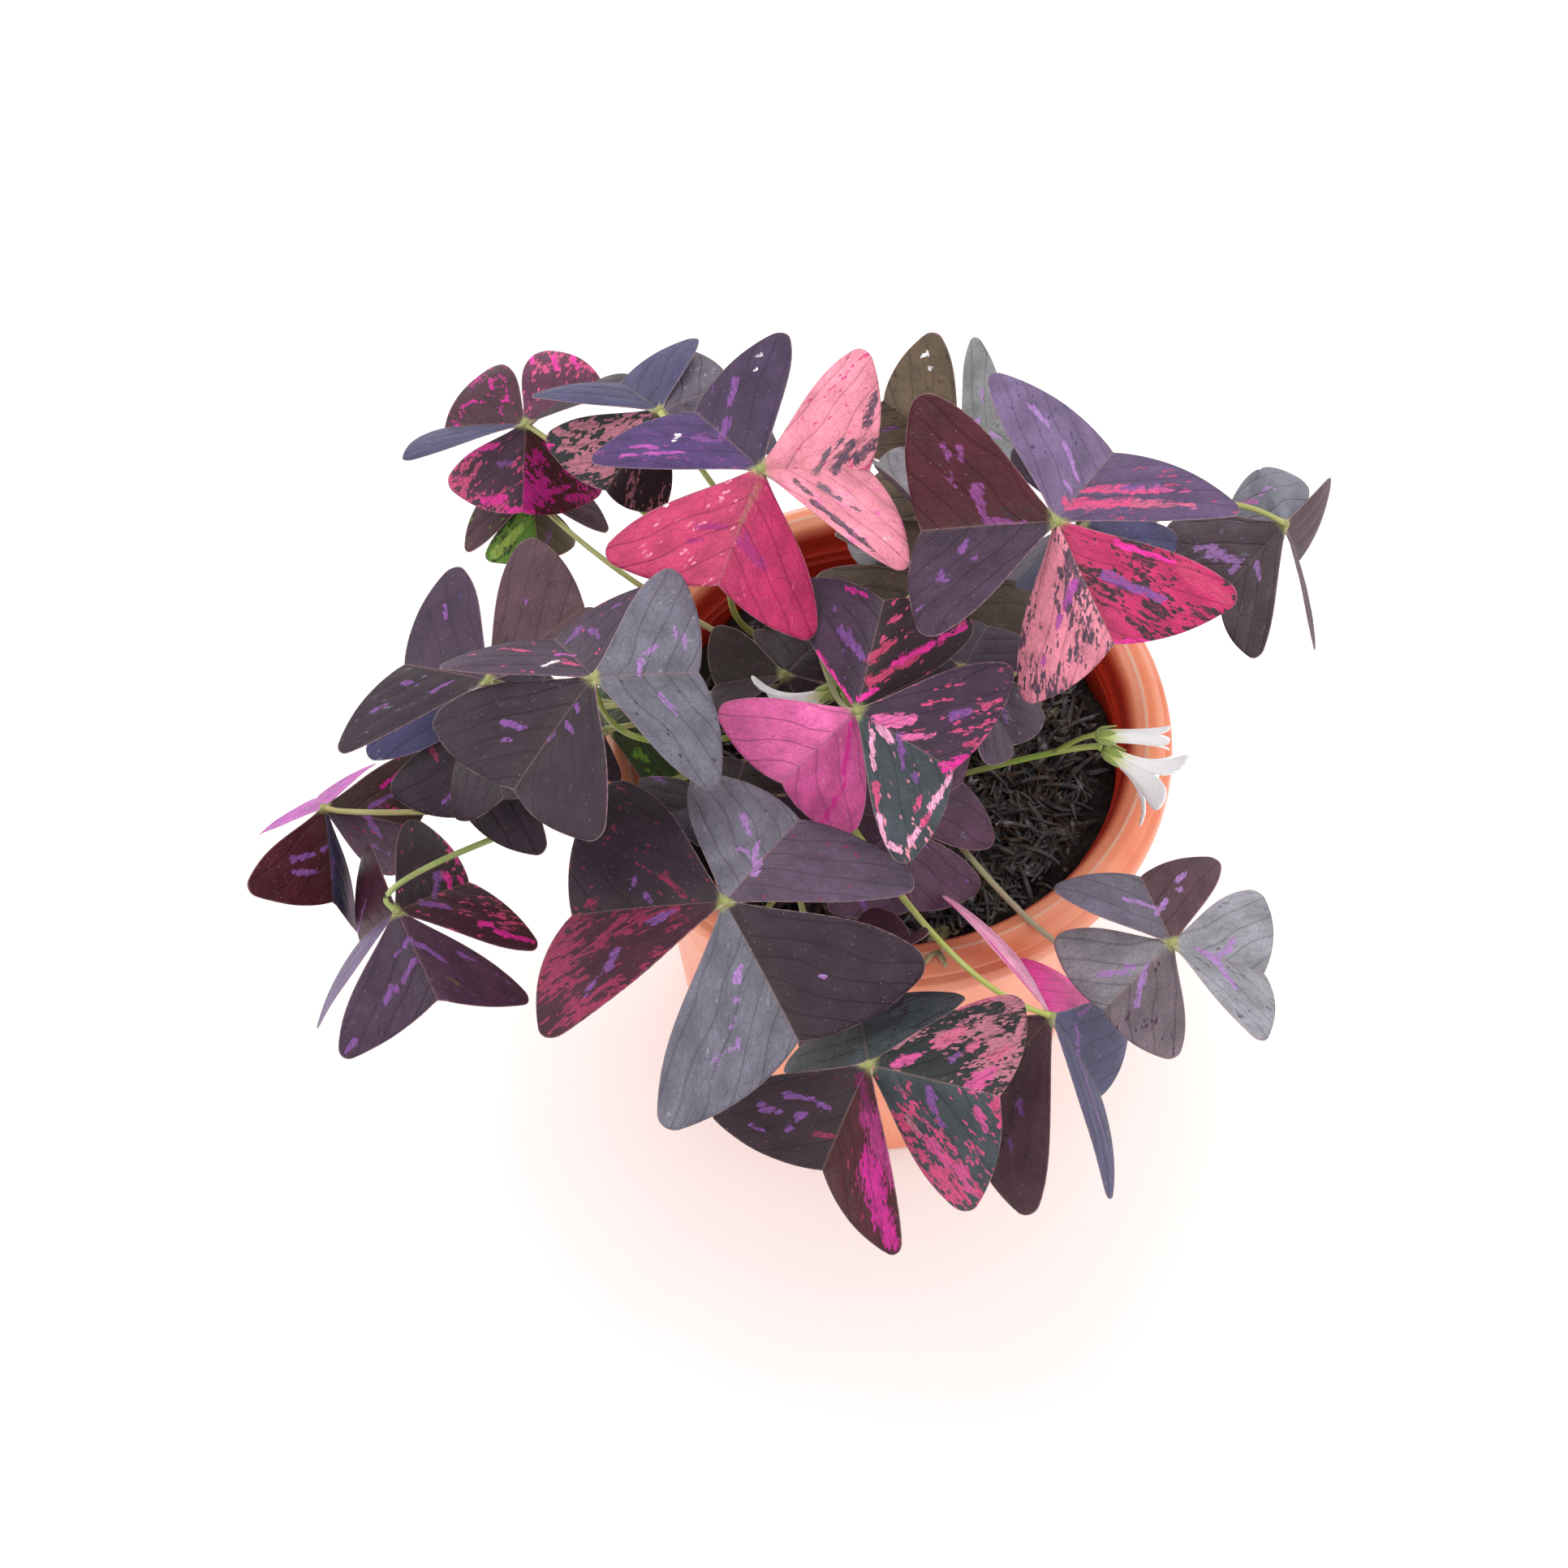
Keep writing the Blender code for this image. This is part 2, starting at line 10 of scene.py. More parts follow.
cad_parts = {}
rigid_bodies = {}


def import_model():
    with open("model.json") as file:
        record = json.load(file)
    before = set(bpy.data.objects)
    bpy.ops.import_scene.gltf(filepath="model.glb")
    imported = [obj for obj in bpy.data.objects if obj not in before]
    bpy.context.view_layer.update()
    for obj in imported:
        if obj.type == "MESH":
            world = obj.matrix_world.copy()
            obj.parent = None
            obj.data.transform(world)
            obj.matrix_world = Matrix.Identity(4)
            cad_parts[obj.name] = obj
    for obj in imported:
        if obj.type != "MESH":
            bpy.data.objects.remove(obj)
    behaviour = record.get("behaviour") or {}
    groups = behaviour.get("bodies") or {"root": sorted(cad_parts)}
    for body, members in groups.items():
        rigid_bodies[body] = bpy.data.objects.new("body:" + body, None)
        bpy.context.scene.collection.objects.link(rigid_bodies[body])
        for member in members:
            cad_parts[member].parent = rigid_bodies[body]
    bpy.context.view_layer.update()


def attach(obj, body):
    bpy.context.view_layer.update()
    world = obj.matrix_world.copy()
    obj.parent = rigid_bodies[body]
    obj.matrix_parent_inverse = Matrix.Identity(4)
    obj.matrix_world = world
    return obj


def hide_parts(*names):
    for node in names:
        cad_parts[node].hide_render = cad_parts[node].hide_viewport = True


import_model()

# ---------------------------------------------------------------------------------------------
# The studio. A sheet of matt white paper lies under the pot, and a large diffuser hangs above it,
# a little behind and to the left, with a pale room all round that fills the shadows.
# ---------------------------------------------------------------------------------------------
MM = 0.001


def linear(code):
    """An sRGB hex value as linear red, green, blue and alpha 1."""
    share = np.array([int(code[i : i + 2], 16) for i in (1, 3, 5)]) / 255.0
    return (*np.where(share <= 0.04045, share / 12.92, ((share + 0.055) / 1.055) ** 2.4).tolist(), 1.0)


def add(tree, kind, sockets=None, stops=(), **settings):
    """A new node with its settings, and a colour ramp's stops as pairs of position and hex value.

    A socket takes a value, a hex value, an output, or a node, which gives its first live output. It
    goes by name or number: a Mix's factor is 0 and its colours 6 and 7, and a Map Range's value is 0,
    the range that it comes from 1 and 2, and the range that it goes to 3 and 4.
    """
    made = tree.nodes.new("ShaderNode" + kind)
    for key, value in settings.items():
        setattr(made, key, value)
    for i, (position, code) in enumerate(stops):
        bands = made.color_ramp.elements
        band = bands[i] if i < 2 else bands.new(position)
        band.position, band.color = position, linear(code)
    for key, value in (sockets or {}).items():
        if isinstance(value, bpy.types.Node):
            value = next(output for output in value.outputs if output.enabled)
        if isinstance(value, bpy.types.NodeSocket):
            tree.links.new(value, made.inputs[key])
        else:
            made.inputs[key].default_value = linear(value) if isinstance(value, str) else value
    return made


def new_material(name):
    """An empty material and its tree."""
    made = bpy.data.materials.new(name)
    made.use_nodes = True
    made.node_tree.nodes.clear()
    return made, made.node_tree


def surfaced(tree, sockets):
    """Ends a material: the Principled shader that takes these sockets, and the output."""
    add(tree, "OutputMaterial", {"Surface": add(tree, "BsdfPrincipled", sockets)})


def solid_piece(name, points, *faces, smooth=True):
    """An object at the origin from points in millimetres and arrays of quads or triangles."""
    mesh = bpy.data.meshes.new(name)
    corners = np.concatenate([kind.ravel() for kind in faces]).astype(np.int32)
    totals = np.concatenate([np.full(len(kind), kind.shape[1]) for kind in faces]).astype(np.int32)
    mesh.vertices.add(len(points))
    mesh.vertices.foreach_set("co", (np.asarray(points, np.float64) * MM).astype(np.float32).ravel())
    mesh.loops.add(len(corners))
    mesh.loops.foreach_set("vertex_index", corners)
    mesh.polygons.add(len(totals))
    mesh.polygons.foreach_set("loop_start", np.cumsum(totals, dtype=np.int32) - totals)
    mesh.polygons.foreach_set("loop_total", totals)
    mesh.update(calc_edges=True)
    mesh.polygons.foreach_set("use_smooth", np.full(len(totals), smooth))
    thing = bpy.data.objects.new(name, mesh)
    bpy.context.scene.collection.objects.link(thing)
    return thing


PAPER_HALF = 2500.0
paper_points = np.array([[-1, -1, 0], [1, -1, 0], [1, 1, 0], [-1, 1, 0]]) * PAPER_HALF
paper = solid_piece("paper_sweep", paper_points, np.array([[0, 1, 2, 3]]), smooth=False)

# Cartridge paper: matt, with no gloss, and a trace of warm tooth drawn 1 mm wide so that it can show.
paper_stock, tree = new_material("matt_paper")
coords = add(tree, "TexCoord").outputs["Object"]
tooth = add(tree, "TexNoise", {"Vector": coords, "Scale": 900.0, "Detail": 2.0})
shade = add(tree, "Mix", {0: tooth, 6: "#fbfafa", 7: "#fefefe"}, data_type="RGBA")
surfaced(tree, {"Base Color": shade, "Roughness": 0.95, "Specular IOR Level": 0.1})
paper.data.materials.append(paper_stock)

room = bpy.data.worlds.new("pale_room")
bpy.context.scene.world = room
room.use_nodes = True
room.node_tree.nodes["Background"].inputs["Color"].default_value = (1.0, 1.0, 1.0, 1.0)
room.node_tree.nodes["Background"].inputs["Strength"].default_value = 1.1


def diffuser(name, place, target, width, power):
    """A square area lamp at a place, turned to face a target."""
    lamp = bpy.data.lights.new(name, "AREA")
    lamp.shape = "SQUARE"
    lamp.size = width
    lamp.energy = power
    holder = bpy.data.objects.new(name, lamp)
    bpy.context.scene.collection.objects.link(holder)
    holder.location = place
    aim = Vector(target) - Vector(place)
    holder.rotation_euler = aim.to_track_quat("-Z", "Y").to_euler()


diffuser("overhead_diffuser", (-0.35, 0.25, 1.35), (0.0, 0.0, 0.1), 1.1, 7.5)
diffuser("right_fill", (1.1, -0.3, 0.9), (0.0, 0.0, 0.12), 0.9, 2.5)

# The viewer looks down at 60 degrees from 0.9 m, through a lens of about 91 mm on a 36 mm frame.
lens = bpy.data.cameras.new("viewer")
lens.sensor_width = 36.0
lens.lens = 90.8
lens.clip_start = 0.05
viewer = bpy.data.objects.new("viewer", lens)
bpy.context.scene.collection.objects.link(viewer)
aim = Vector((-0.0231, -0.0074, 0.11275))
viewer.location = aim - Vector((0.0, math.cos(math.radians(60)), -math.sin(math.radians(60)))) * 0.9
viewer.rotation_euler = (math.radians(30.0), 0.0, 0.0)
bpy.context.scene.camera = viewer
bpy.context.scene.view_settings.view_transform = "Standard"

# ---------------------------------------------------------------------------------------------
# The pot. One injection moulding in terracotta-coloured polypropylene, with a rolled and skirted
# rim, two fine rings inside the mouth, and drain holes in its floor.
# ---------------------------------------------------------------------------------------------
POT_HEIGHT = 127.0
BASE_RADIUS = 46.5
MOUTH_RADIUS = 54.0
WALL = 2.5
SEAM_RADIUS = 58.7
RING_DROPS = (11.7, 8.5)
RING_HEIGHT = 0.75
POT_SIDES = 180
DRAIN_HOLES = 6
DRAIN_RADIUS = 4.0
DRAIN_CIRCLE = 29.0


def inner_radius(height):
    """The pot's inner wall, straight from the floor to the mouth."""
    return BASE_RADIUS - WALL + (MOUTH_RADIUS - BASE_RADIUS + WALL) * height / (POT_HEIGHT - 6.0)


def rounded(knots, steps):
    """A smooth line through the knots: a Catmull-Rom curve, the same number of steps in each span."""
    knots = np.asarray(knots, float)
    ends = np.vstack([2 * knots[0] - knots[1], knots, 2 * knots[-1] - knots[-2]])
    t = np.linspace(0.0, 1.0, steps, endpoint=False)[:, None]
    spans = [
        0.5 * (2 * b + (c - a) * t + (2 * a - 5 * b + 4 * c - d) * t**2 + (3 * b - a - 3 * c + d) * t**3)
        for a, b, c, d in zip(ends[:-3], ends[1:-2], ends[2:-1], ends[3:])
    ]
    return np.vstack(spans + [knots[-1:]])


def turned(name, profile, sides):
    """A profile of (radius, height) turned round Z: point = (r cos a, r sin a, z).

    The profile starts and ends on the axis, where one point closes each end with a fan.
    """
    angle = np.arange(sides) * (2.0 * math.pi / sides)
    ring = profile[1:-1]
    x = ring[:, :1] * np.cos(angle)
    y = ring[:, :1] * np.sin(angle)
    z = np.repeat(ring[:, 1:], sides, axis=1)
    poles = [[0, 0, profile[0, 1]], [0, 0, profile[-1, 1]]]
    points = np.vstack([np.stack([x, y, z], -1).reshape(-1, 3), poles])
    row = np.arange(len(ring) - 1)[:, None] * sides
    here = np.arange(sides)
    after = (here + 1) % sides
    quads = np.stack([row + here, row + sides + here, row + sides + after, row + after], -1).reshape(-1, 4)
    first = np.stack([np.full(sides, len(points) - 2), here, after], -1)
    base = (len(ring) - 1) * sides
    last = np.stack([np.full(sides, len(points) - 1), base + after, base + here], -1)
    triangles = np.vstack([quads[:, [0, 1, 2]], quads[:, [0, 2, 3]], first, last])
    return solid_piece(name, points, triangles)


top = POT_HEIGHT
inside = [(inner_radius(h), h) for h in np.linspace(WALL + 0.4, top - 13.8, 14)]
for drop in RING_DROPS:
    height = top - drop
    wall = inner_radius(height)
    inside += [(wall - 0.05, height - 1.0), (wall - RING_HEIGHT, height), (wall, height + 1.0)]
inside += [(MOUTH_RADIUS, top - 6.0)]
lip = [(MOUTH_RADIUS, top - 6.0), (MOUTH_RADIUS + 0.6, top - 3.2)]
crown = rounded(lip + [(MOUTH_RADIUS + 2.0, top - 1.1), (MOUTH_RADIUS + 4.4, top - 0.12)], 6)
seam = [(SEAM_RADIUS - 0.08, top - 0.04), (SEAM_RADIUS, top - 0.34), (SEAM_RADIUS + 0.12, top - 0.04)]
roll = rounded([(59.0, top - 0.02), (61.2, top - 0.75), (62.9, top - 2.5)], 7)
groove = [(63.1, top - 3.0), (63.15, top - 3.35), (63.55, top - 3.6)]
bead = [(63.8, top - 3.75), (64.6, top - 4.7), (65.0, top - 7.0), (64.75, top - 9.0)]
bead = rounded(bead + [(63.9, top - 10.4), (63.2, top - 10.5)], 5)
skirt = [(61.9, top - 10.5), (61.5, top - 10.0), (61.3, top - 6.2), (56.9, top - 6.0), (56.6, top - 7.0)]
body = [(inner_radius(h) + WALL + 0.15, h) for h in np.linspace(top - 8.0, 6.0, 26)]
foot = rounded([(47.4, 4.2), (47.2, 1.6), (46.6, 0.35), (45.4, 0.0)], 4)
outside = [seam, roll, groove, bead, skirt, body, foot, [(30, 0), (0, 0)]]
profile = np.vstack([[(0, WALL), (30, WALL)], inside, crown[1:], *outside])
pot = turned("pot_moulding", profile, POT_SIDES)

drills = bpy.data.collections.new("drills")
for i in range(DRAIN_HOLES):
    angle = 2.0 * math.pi * (i + 0.5) / DRAIN_HOLES
    bit = np.array([(0, 6.0), (DRAIN_RADIUS, 6.0), (DRAIN_RADIUS, -3.0), (0, -3.0)])
    drill = turned(f"drill_{i}", bit, 28)
    across = DRAIN_CIRCLE * MM
    drill.data.transform(Matrix.Translation((across * math.cos(angle), across * math.sin(angle), 0.0)))
    bpy.context.scene.collection.objects.unlink(drill)
    drills.objects.link(drill)
cut = pot.modifiers.new("drain_holes", "BOOLEAN")
cut.operation = "DIFFERENCE"
cut.operand_type = "COLLECTION"
cut.collection = drills
cut.solver = "EXACT"
bpy.context.view_layer.update()
moulded = bpy.data.meshes.new_from_object(pot.evaluated_get(bpy.context.evaluated_depsgraph_get()))
pot.modifiers.clear()
pot.data = moulded
for drill in list(drills.objects):
    bpy.data.objects.remove(drill)
moulded.set_sharp_from_angle(angle=math.radians(38))

# Polypropylene, terracotta-coloured: satin and a little translucent. Its inside is painted a darker,
# deeper red: painted shade, with the red glow of light through the wall. Fine scuffs and dried water
# marks dull the gloss in patches. Clouds in the colour are 36 mm wide, flow lines of the moulding 17 by
# 1 mm, water marks 9 mm, scuffs 6 mm.
polypropylene, tree = new_material("terracotta_polypropylene")
coords = add(tree, "TexCoord").outputs["Object"]
height = add(tree, "SeparateXYZ", {0: coords}).outputs["Z"]
flat = add(tree, "VectorMath", {0: coords, 1: (1.0, 1.0, 0.0)}, operation="MULTIPLY")
radius = add(tree, "VectorMath", {0: flat}, operation="LENGTH")
cloud = add(tree, "TexNoise", {"Vector": coords, "Scale": 28.0, "Detail": 4.0, "Roughness": 0.6})
stretched = add(tree, "Mapping", {"Vector": coords, "Scale": (60.0, 60.0, 900.0)})
flow = add(tree, "TexNoise", {"Vector": stretched, "Scale": 1.0, "Detail": 3.0}).outputs["Color"]
tint = add(tree, "ValToRGB", {0: cloud}, stops=((0.3, "#e2744d"), (0.7, "#f09f7b")))
streaky = add(tree, "Mix", {0: 0.12, 6: tint, 7: flow}, data_type="RGBA", blend_type="OVERLAY")

# The inner wall leans out with height, so the painted shade's dark red follows the radius less that lean.
lean = (inner_radius(POT_HEIGHT) - inner_radius(0.0)) / POT_HEIGHT
inner_foot = inner_radius(0.0) * MM
unleaned = add(tree, "Math", {0: height, 1: -lean, 2: radius}, operation="MULTIPLY_ADD")
inside_shade_mask = add(tree, "MapRange", {0: unleaned, 1: inner_foot + 0.002, 2: inner_foot + 0.0003})
shaded = add(tree, "Mix", {0: inside_shade_mask, 6: streaky, 7: "#c8321f"}, data_type="RGBA")
# The seam on top of the rim is painted pale along its crest: a painted highlight.
off_seam = add(tree, "Math", {0: radius, 1: SEAM_RADIUS * MM}, operation="SUBTRACT")
off_seam = add(tree, "Math", {0: off_seam}, operation="ABSOLUTE")
on_top = add(tree, "Math", {0: height, 1: 0.1262}, operation="GREATER_THAN")
seam_highlight = add(tree, "MapRange", {0: off_seam, 1: 0.0004, 2: 0.00015})
seam_highlight = add(tree, "Math", {0: seam_highlight, 1: on_top}, operation="MULTIPLY")
lined = add(tree, "Mix", {0: seam_highlight, 6: shaded, 7: "#f7cdb4"}, data_type="RGBA")
marks = add(tree, "TexNoise", {"Vector": coords, "Scale": 110.0, "Detail": 6.0, "Roughness": 0.7})
rough = add(tree, "MapRange", {0: marks, 1: 0.3, 2: 0.75, 3: 0.2, 4: 0.38})
scuffs = add(tree, "TexNoise", {"Vector": stretched, "Scale": 2.6, "Detail": 5.0, "Roughness": 0.75})
bump = add(tree, "Bump", {"Height": scuffs, "Strength": 0.12, "Distance": 0.0002})
surfaced(tree, {"Base Color": lined, "Roughness": rough, "Normal": bump, "IOR": 1.49})
pot.data.materials.clear()
pot.data.materials.append(polypropylene)
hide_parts("pot")
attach(pot, "root")

# ---------------------------------------------------------------------------------------------
# The soil. A loose potting mix of composted bark, charred rice husk and coir, filled to 17 mm
# below the rim. It lies as one crumbly bed, with whole husks and fibres strewn over its top.
# ---------------------------------------------------------------------------------------------
SOIL_TOP = 110.0
SOIL_RELIEF = 1.4
SOIL_EDGE = inner_radius(SOIL_TOP) - 0.5
HULLS, RODS, FIBRES = 900, 2500, 520


def lattice_noise(x, y, size, seed):
    """Smooth random heights from 0 to 1: random values on a square lattice, blended between."""
    table = np.random.default_rng(seed).random((128, 128))
    i, j = np.floor(x / size).astype(int), np.floor(y / size).astype(int)
    u, v = x / size - i, y / size - j
    u, v = u * u * (3 - 2 * u), v * v * (3 - 2 * v)
    low = table[i % 128, j % 128] * (1 - u) + table[(i + 1) % 128, j % 128] * u
    high = table[i % 128, (j + 1) % 128] * (1 - u) + table[(i + 1) % 128, (j + 1) % 128] * u
    return low * (1 - v) + high * v


def soil_height(x, y):
    """Three crossed long waves, then crumbs of 9, 4 and 1.7 mm, and a dip along the wall."""
    waves = np.sin(0.31 * x + 0.17 * y) + np.sin(0.23 * y - 0.29 * x + 1.3) + np.sin(0.47 * y + 0.9)
    crumbs = 1.8 * lattice_noise(x, y, 9.0, 1) + 1.6 * lattice_noise(x, y, 4.0, 2)
    crumbs = crumbs + 1.0 * lattice_noise(x, y, 1.7, 3)
    wall = np.clip((np.hypot(x, y) - SOIL_EDGE + 4.0) / 4.0, 0.0, 1.0) ** 2
    return SOIL_TOP + SOIL_RELIEF * waves / 3.0 + crumbs - 2.2 - 1.2 * wall


rings = [(r, SOIL_TOP) for r in np.linspace(0.0, SOIL_EDGE, 74)]
skin = [(inner_radius(h) - 0.5, h) for h in np.linspace(SOIL_TOP - 5.0, WALL + 0.3, 8)]
soil = turned("soil_bed", np.vstack([rings, skin, [(0.0, WALL + 0.3)]]), 240)
points = np.empty(len(soil.data.vertices) * 3, np.float32)
soil.data.vertices.foreach_get("co", points)
points = points.reshape(-1, 3)
upper = points[:, 2] > (SOIL_TOP - 1.0) * MM
points[upper, 2] = soil_height(points[upper, 0] / MM, points[upper, 1] / MM) * MM
soil.data.vertices.foreach_set("co", points.ravel())

# Composted bark and char: near black, quite matt, with brown crumbs and pale grit between. Crumbs are
# 1.6 mm wide, in clods of 6 mm.
bark_mix, tree = new_material("composted_bark_and_char")
coords = add(tree, "TexCoord").outputs["Object"]
crumb = add(tree, "TexVoronoi", {"Vector": coords, "Scale": 620.0})
clod = add(tree, "TexNoise", {"Vector": coords, "Scale": 160.0, "Detail": 5.0, "Roughness": 0.7})
stops = ((0.25, "#171211"), (0.85, "#30241d"), (0.97, "#8a7460"))
tint = add(tree, "ValToRGB", {0: crumb.outputs["Color"]}, stops)
# Where the clods dip, the colour is painted darker: painted shade in their hollows.
dark = add(tree, "MapRange", {0: clod, 1: 0.35, 2: 0.65, 3: 0.35, 4: 1.1})
shade = add(tree, "Mix", {0: 1.0, 6: tint, 7: dark}, data_type="RGBA", blend_type="MULTIPLY")
relief = add(tree, "Math", {0: crumb, 1: clod}, operation="ADD")
bump = add(tree, "Bump", {"Height": relief, "Strength": 0.9, "Distance": 0.001})
surfaced(tree, {"Base Color": shade, "Roughness": 0.92, "Normal": bump})
soil.data.materials.append(bark_mix)
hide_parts("soil")
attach(soil, "root")


def shell(top, under):
    """A closed sheet between two grids of points: both faces, and a strip all round its edge.

    Rows run along +X and columns along +Y, so that the top grid's faces look up.
    """
    rows, columns = top.shape[:2]
    index = np.arange(rows * columns).reshape(rows, columns)
    upper = np.stack([index[:-1, :-1], index[1:, :-1], index[1:, 1:], index[:-1, 1:]], -1).reshape(-1, 4)
    lower = upper[:, ::-1] + rows * columns
    edge = np.concatenate([index[:, 0], index[-1, 1:], index[-2::-1, -1], index[0, -2:0:-1]])
    after = np.roll(edge, -1)
    rim = np.stack([edge, edge + rows * columns, after + rows * columns, after], -1)
    return np.vstack([top.reshape(-1, 3), under.reshape(-1, 3)]), upper, lower, rim


def random_turns(rng, count, tilt):
    """Random headings with random tilts up to the given angle, as 3 x 3 matrices."""
    a = rng.uniform(0, 2 * math.pi, count)
    b, c = rng.uniform(-tilt, tilt, count), rng.uniform(-tilt, tilt, count)
    nil, one = np.zeros(count), np.ones(count)
    about_z = [np.cos(a), -np.sin(a), nil, np.sin(a), np.cos(a), nil, nil, nil, one]
    about_y = [np.cos(b), nil, np.sin(b), nil, one, nil, -np.sin(b), nil, np.cos(b)]
    about_x = [one, nil, nil, nil, np.cos(c), -np.sin(c), nil, np.sin(c), np.cos(c)]
    z, y, x = (np.stack(turn, -1).reshape(-1, 3, 3) for turn in (about_z, about_y, about_x))
    return z @ y @ x


def strewn(points, faces, places, turns, sizes):
    """Copies of one small shape: each scaled, turned and set down, all as arrays."""
    copies = (points[None] * sizes[:, None]) @ turns.transpose(0, 2, 1) + places[:, None]
    steps = np.arange(len(places))[:, None, None] * len(points)
    return copies.reshape(-1, 3), (faces[None] + steps).reshape(-1, faces.shape[1])


def strewn_places(rng, count, reach, lift):
    """Places spread evenly over the soil inside a radius, a little above its surface."""
    angle, radius = rng.uniform(0, 2 * math.pi, count), reach * np.sqrt(rng.uniform(0, 1, count))
    x, y = radius * np.cos(angle), radius * np.sin(angle)
    return np.stack([x, y, soil_height(x, y) + rng.uniform(*lift, count)], -1)


def husk(length, width, hollow):
    """A boat: half width falls to the ends as (1 - u^2)^0.6, and its middle rises by (1 - u^2)(1 - v^2)."""
    u, v = np.linspace(-1, 1, 5)[:, None], np.linspace(-1, 1, 3)[None]
    taper = 0.15 + 0.85 * (1 - u**2) ** 0.6
    rise = hollow * (1 - u**2) * (1 - v**2)
    top = np.stack([u * length / 2 + 0 * v, v * taper * width / 2, rise], -1)
    points, upper, lower, rim = shell(top, top - [0, 0, 0.22])
    return points, np.vstack([upper, lower, rim])


def limb(line, radii, sides):
    """A round tube along a line of points, its radius given at each, closed to a point at both ends.

    The ring at each point lies square to the line; its first spoke is square to the line and to one fixed
    slant.
    """
    line, radii = np.asarray(line, float), np.asarray(radii, float)
    way = np.gradient(line, axis=0)
    way /= np.linalg.norm(way, axis=1, keepdims=True)
    spoke = np.cross(way, [0.31, 0.87, 0.38])
    spoke /= np.linalg.norm(spoke, axis=1, keepdims=True)
    other = np.cross(way, spoke)
    angle = np.arange(sides) * (2.0 * math.pi / sides)
    rings = spoke[:, None] * np.cos(angle)[:, None] + other[:, None] * np.sin(angle)[:, None]
    rings = line[:, None] + rings * radii[:, None, None]
    ends = [line[0] - way[0] * radii[0] * 0.4, line[-1] + way[-1] * radii[-1] * 0.4]
    row, here = np.arange(len(line) - 1)[:, None] * sides, np.arange(sides)
    after = (here + 1) % sides
    quads = np.stack([row + here, row + after, row + sides + after, row + sides + here], -1).reshape(-1, 4)
    last, base = len(line) * sides, (len(line) - 1) * sides
    foot = np.stack([np.full(sides, last), after, here], -1)
    tip = np.stack([np.full(sides, last + 1), base + here, base + after], -1)
    return np.vstack([rings.reshape(-1, 3), ends]), quads, np.vstack([foot, tip])


rng = np.random.default_rng(11)
points, faces = husk(6.0, 1.8, 0.6)
count = HULLS
places = strewn_places(rng, count, SOIL_EDGE - 4.2, (-0.5, 0.7))
sizes = rng.uniform(0.55, 1.1, (count, 1)) * np.ones((1, 3))
hulls, hull_quads = strewn(points, faces, places, random_turns(rng, count, 0.6), sizes)
t = np.linspace(0, 1, 5)
bent = np.stack([(t - 0.5) * 9.0, 0.9 * np.sin(2.6 * t), 0.5 * np.sin(math.pi * t)], -1)
points, quads, caps = limb(bent, 0.66 - 0.34 * (2 * t - 1) ** 2, 5)
faces = np.vstack([quads[:, [0, 1, 2]], quads[:, [0, 2, 3]], caps])
count = RODS
places = strewn_places(rng, count, SOIL_EDGE - 6.4, (-0.3, 1.0))
sizes = rng.uniform(0.45, 1.25, (count, 1)) * rng.uniform(0.75, 1.25, (count, 3))
rods, rod_faces = strewn(points, faces, places, random_turns(rng, count, 0.42), sizes)
rod_faces = rod_faces + len(hulls)
husks = solid_piece("charred_husks", np.vstack([hulls, rods]), hull_quads, rod_faces, smooth=False)

# Charred husk and root: black to dark brown in patches of 4 mm, with pale silvery patches painted in as
# the highlights of a graphite gleam. The ribs are drawn 0.7 mm apart, coarser than real, so that they
# show.
char, tree = new_material("charred_husk_and_root")
coords = add(tree, "TexCoord").outputs["Object"]
patch = add(tree, "TexNoise", {"Vector": coords, "Scale": 260.0, "Detail": 2.0})
tint = add(tree, "ValToRGB", {0: patch}, ((0.42, "#2d2a2b"), (0.62, "#4c403c"), (0.7, "#86848a")))
ribs = add(tree, "TexNoise", {"Vector": coords, "Scale": 1500.0, "Detail": 2.0})
bump = add(tree, "Bump", {"Height": ribs, "Strength": 0.5, "Distance": 0.0003})
surfaced(tree, {"Base Color": tint, "Roughness": 0.34, "Normal": bump})
husks.data.materials.append(char)
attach(husks, "root")


t = np.linspace(0, 1, 7)
bowed = np.stack([(t - 0.5) * 14.0, 1.6 * np.sin(3.0 * t), 1.1 * np.sin(math.pi * t)], -1)
points, quads, caps = limb(bowed, 0.16 * (1.0 - 0.6 * np.abs(2 * t - 1) ** 3), 4)
faces = np.vstack([quads[:, [0, 1, 2]], quads[:, [0, 2, 3]], caps])
count = FIBRES
places = strewn_places(rng, count, SOIL_EDGE - 8.5, (0.1, 0.9))
sizes = rng.uniform(0.5, 1.1, (count, 1)) * np.array([1.0, 1.0, 1.0])
coir = solid_piece("coir_fibres", *strewn(points, faces, places, random_turns(rng, count, 0.25), sizes))

# Coir: dull brown husk fibre, paler where it is worn, every 11 mm or so.
coir_fibre, tree = new_material("coir_fibre")
coords = add(tree, "TexCoord").outputs["Object"]
patch = add(tree, "TexNoise", {"Vector": coords, "Scale": 90.0, "Detail": 1.0})
tint = add(tree, "ValToRGB", {0: patch}, ((0.35, "#2b1c14"), (0.68, "#6d4c33")))
surfaced(tree, {"Base Color": tint, "Roughness": 0.8})
coir.data.materials.append(coir_fibre)
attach(coir, "root")

# ---------------------------------------------------------------------------------------------
# Dry litter. Two papery scraps and a crumb of old leaf that lie on the soil, and a shrivelled
# stalk end that has dropped on the rim; all are loose, bleached and brittle.
# ---------------------------------------------------------------------------------------------


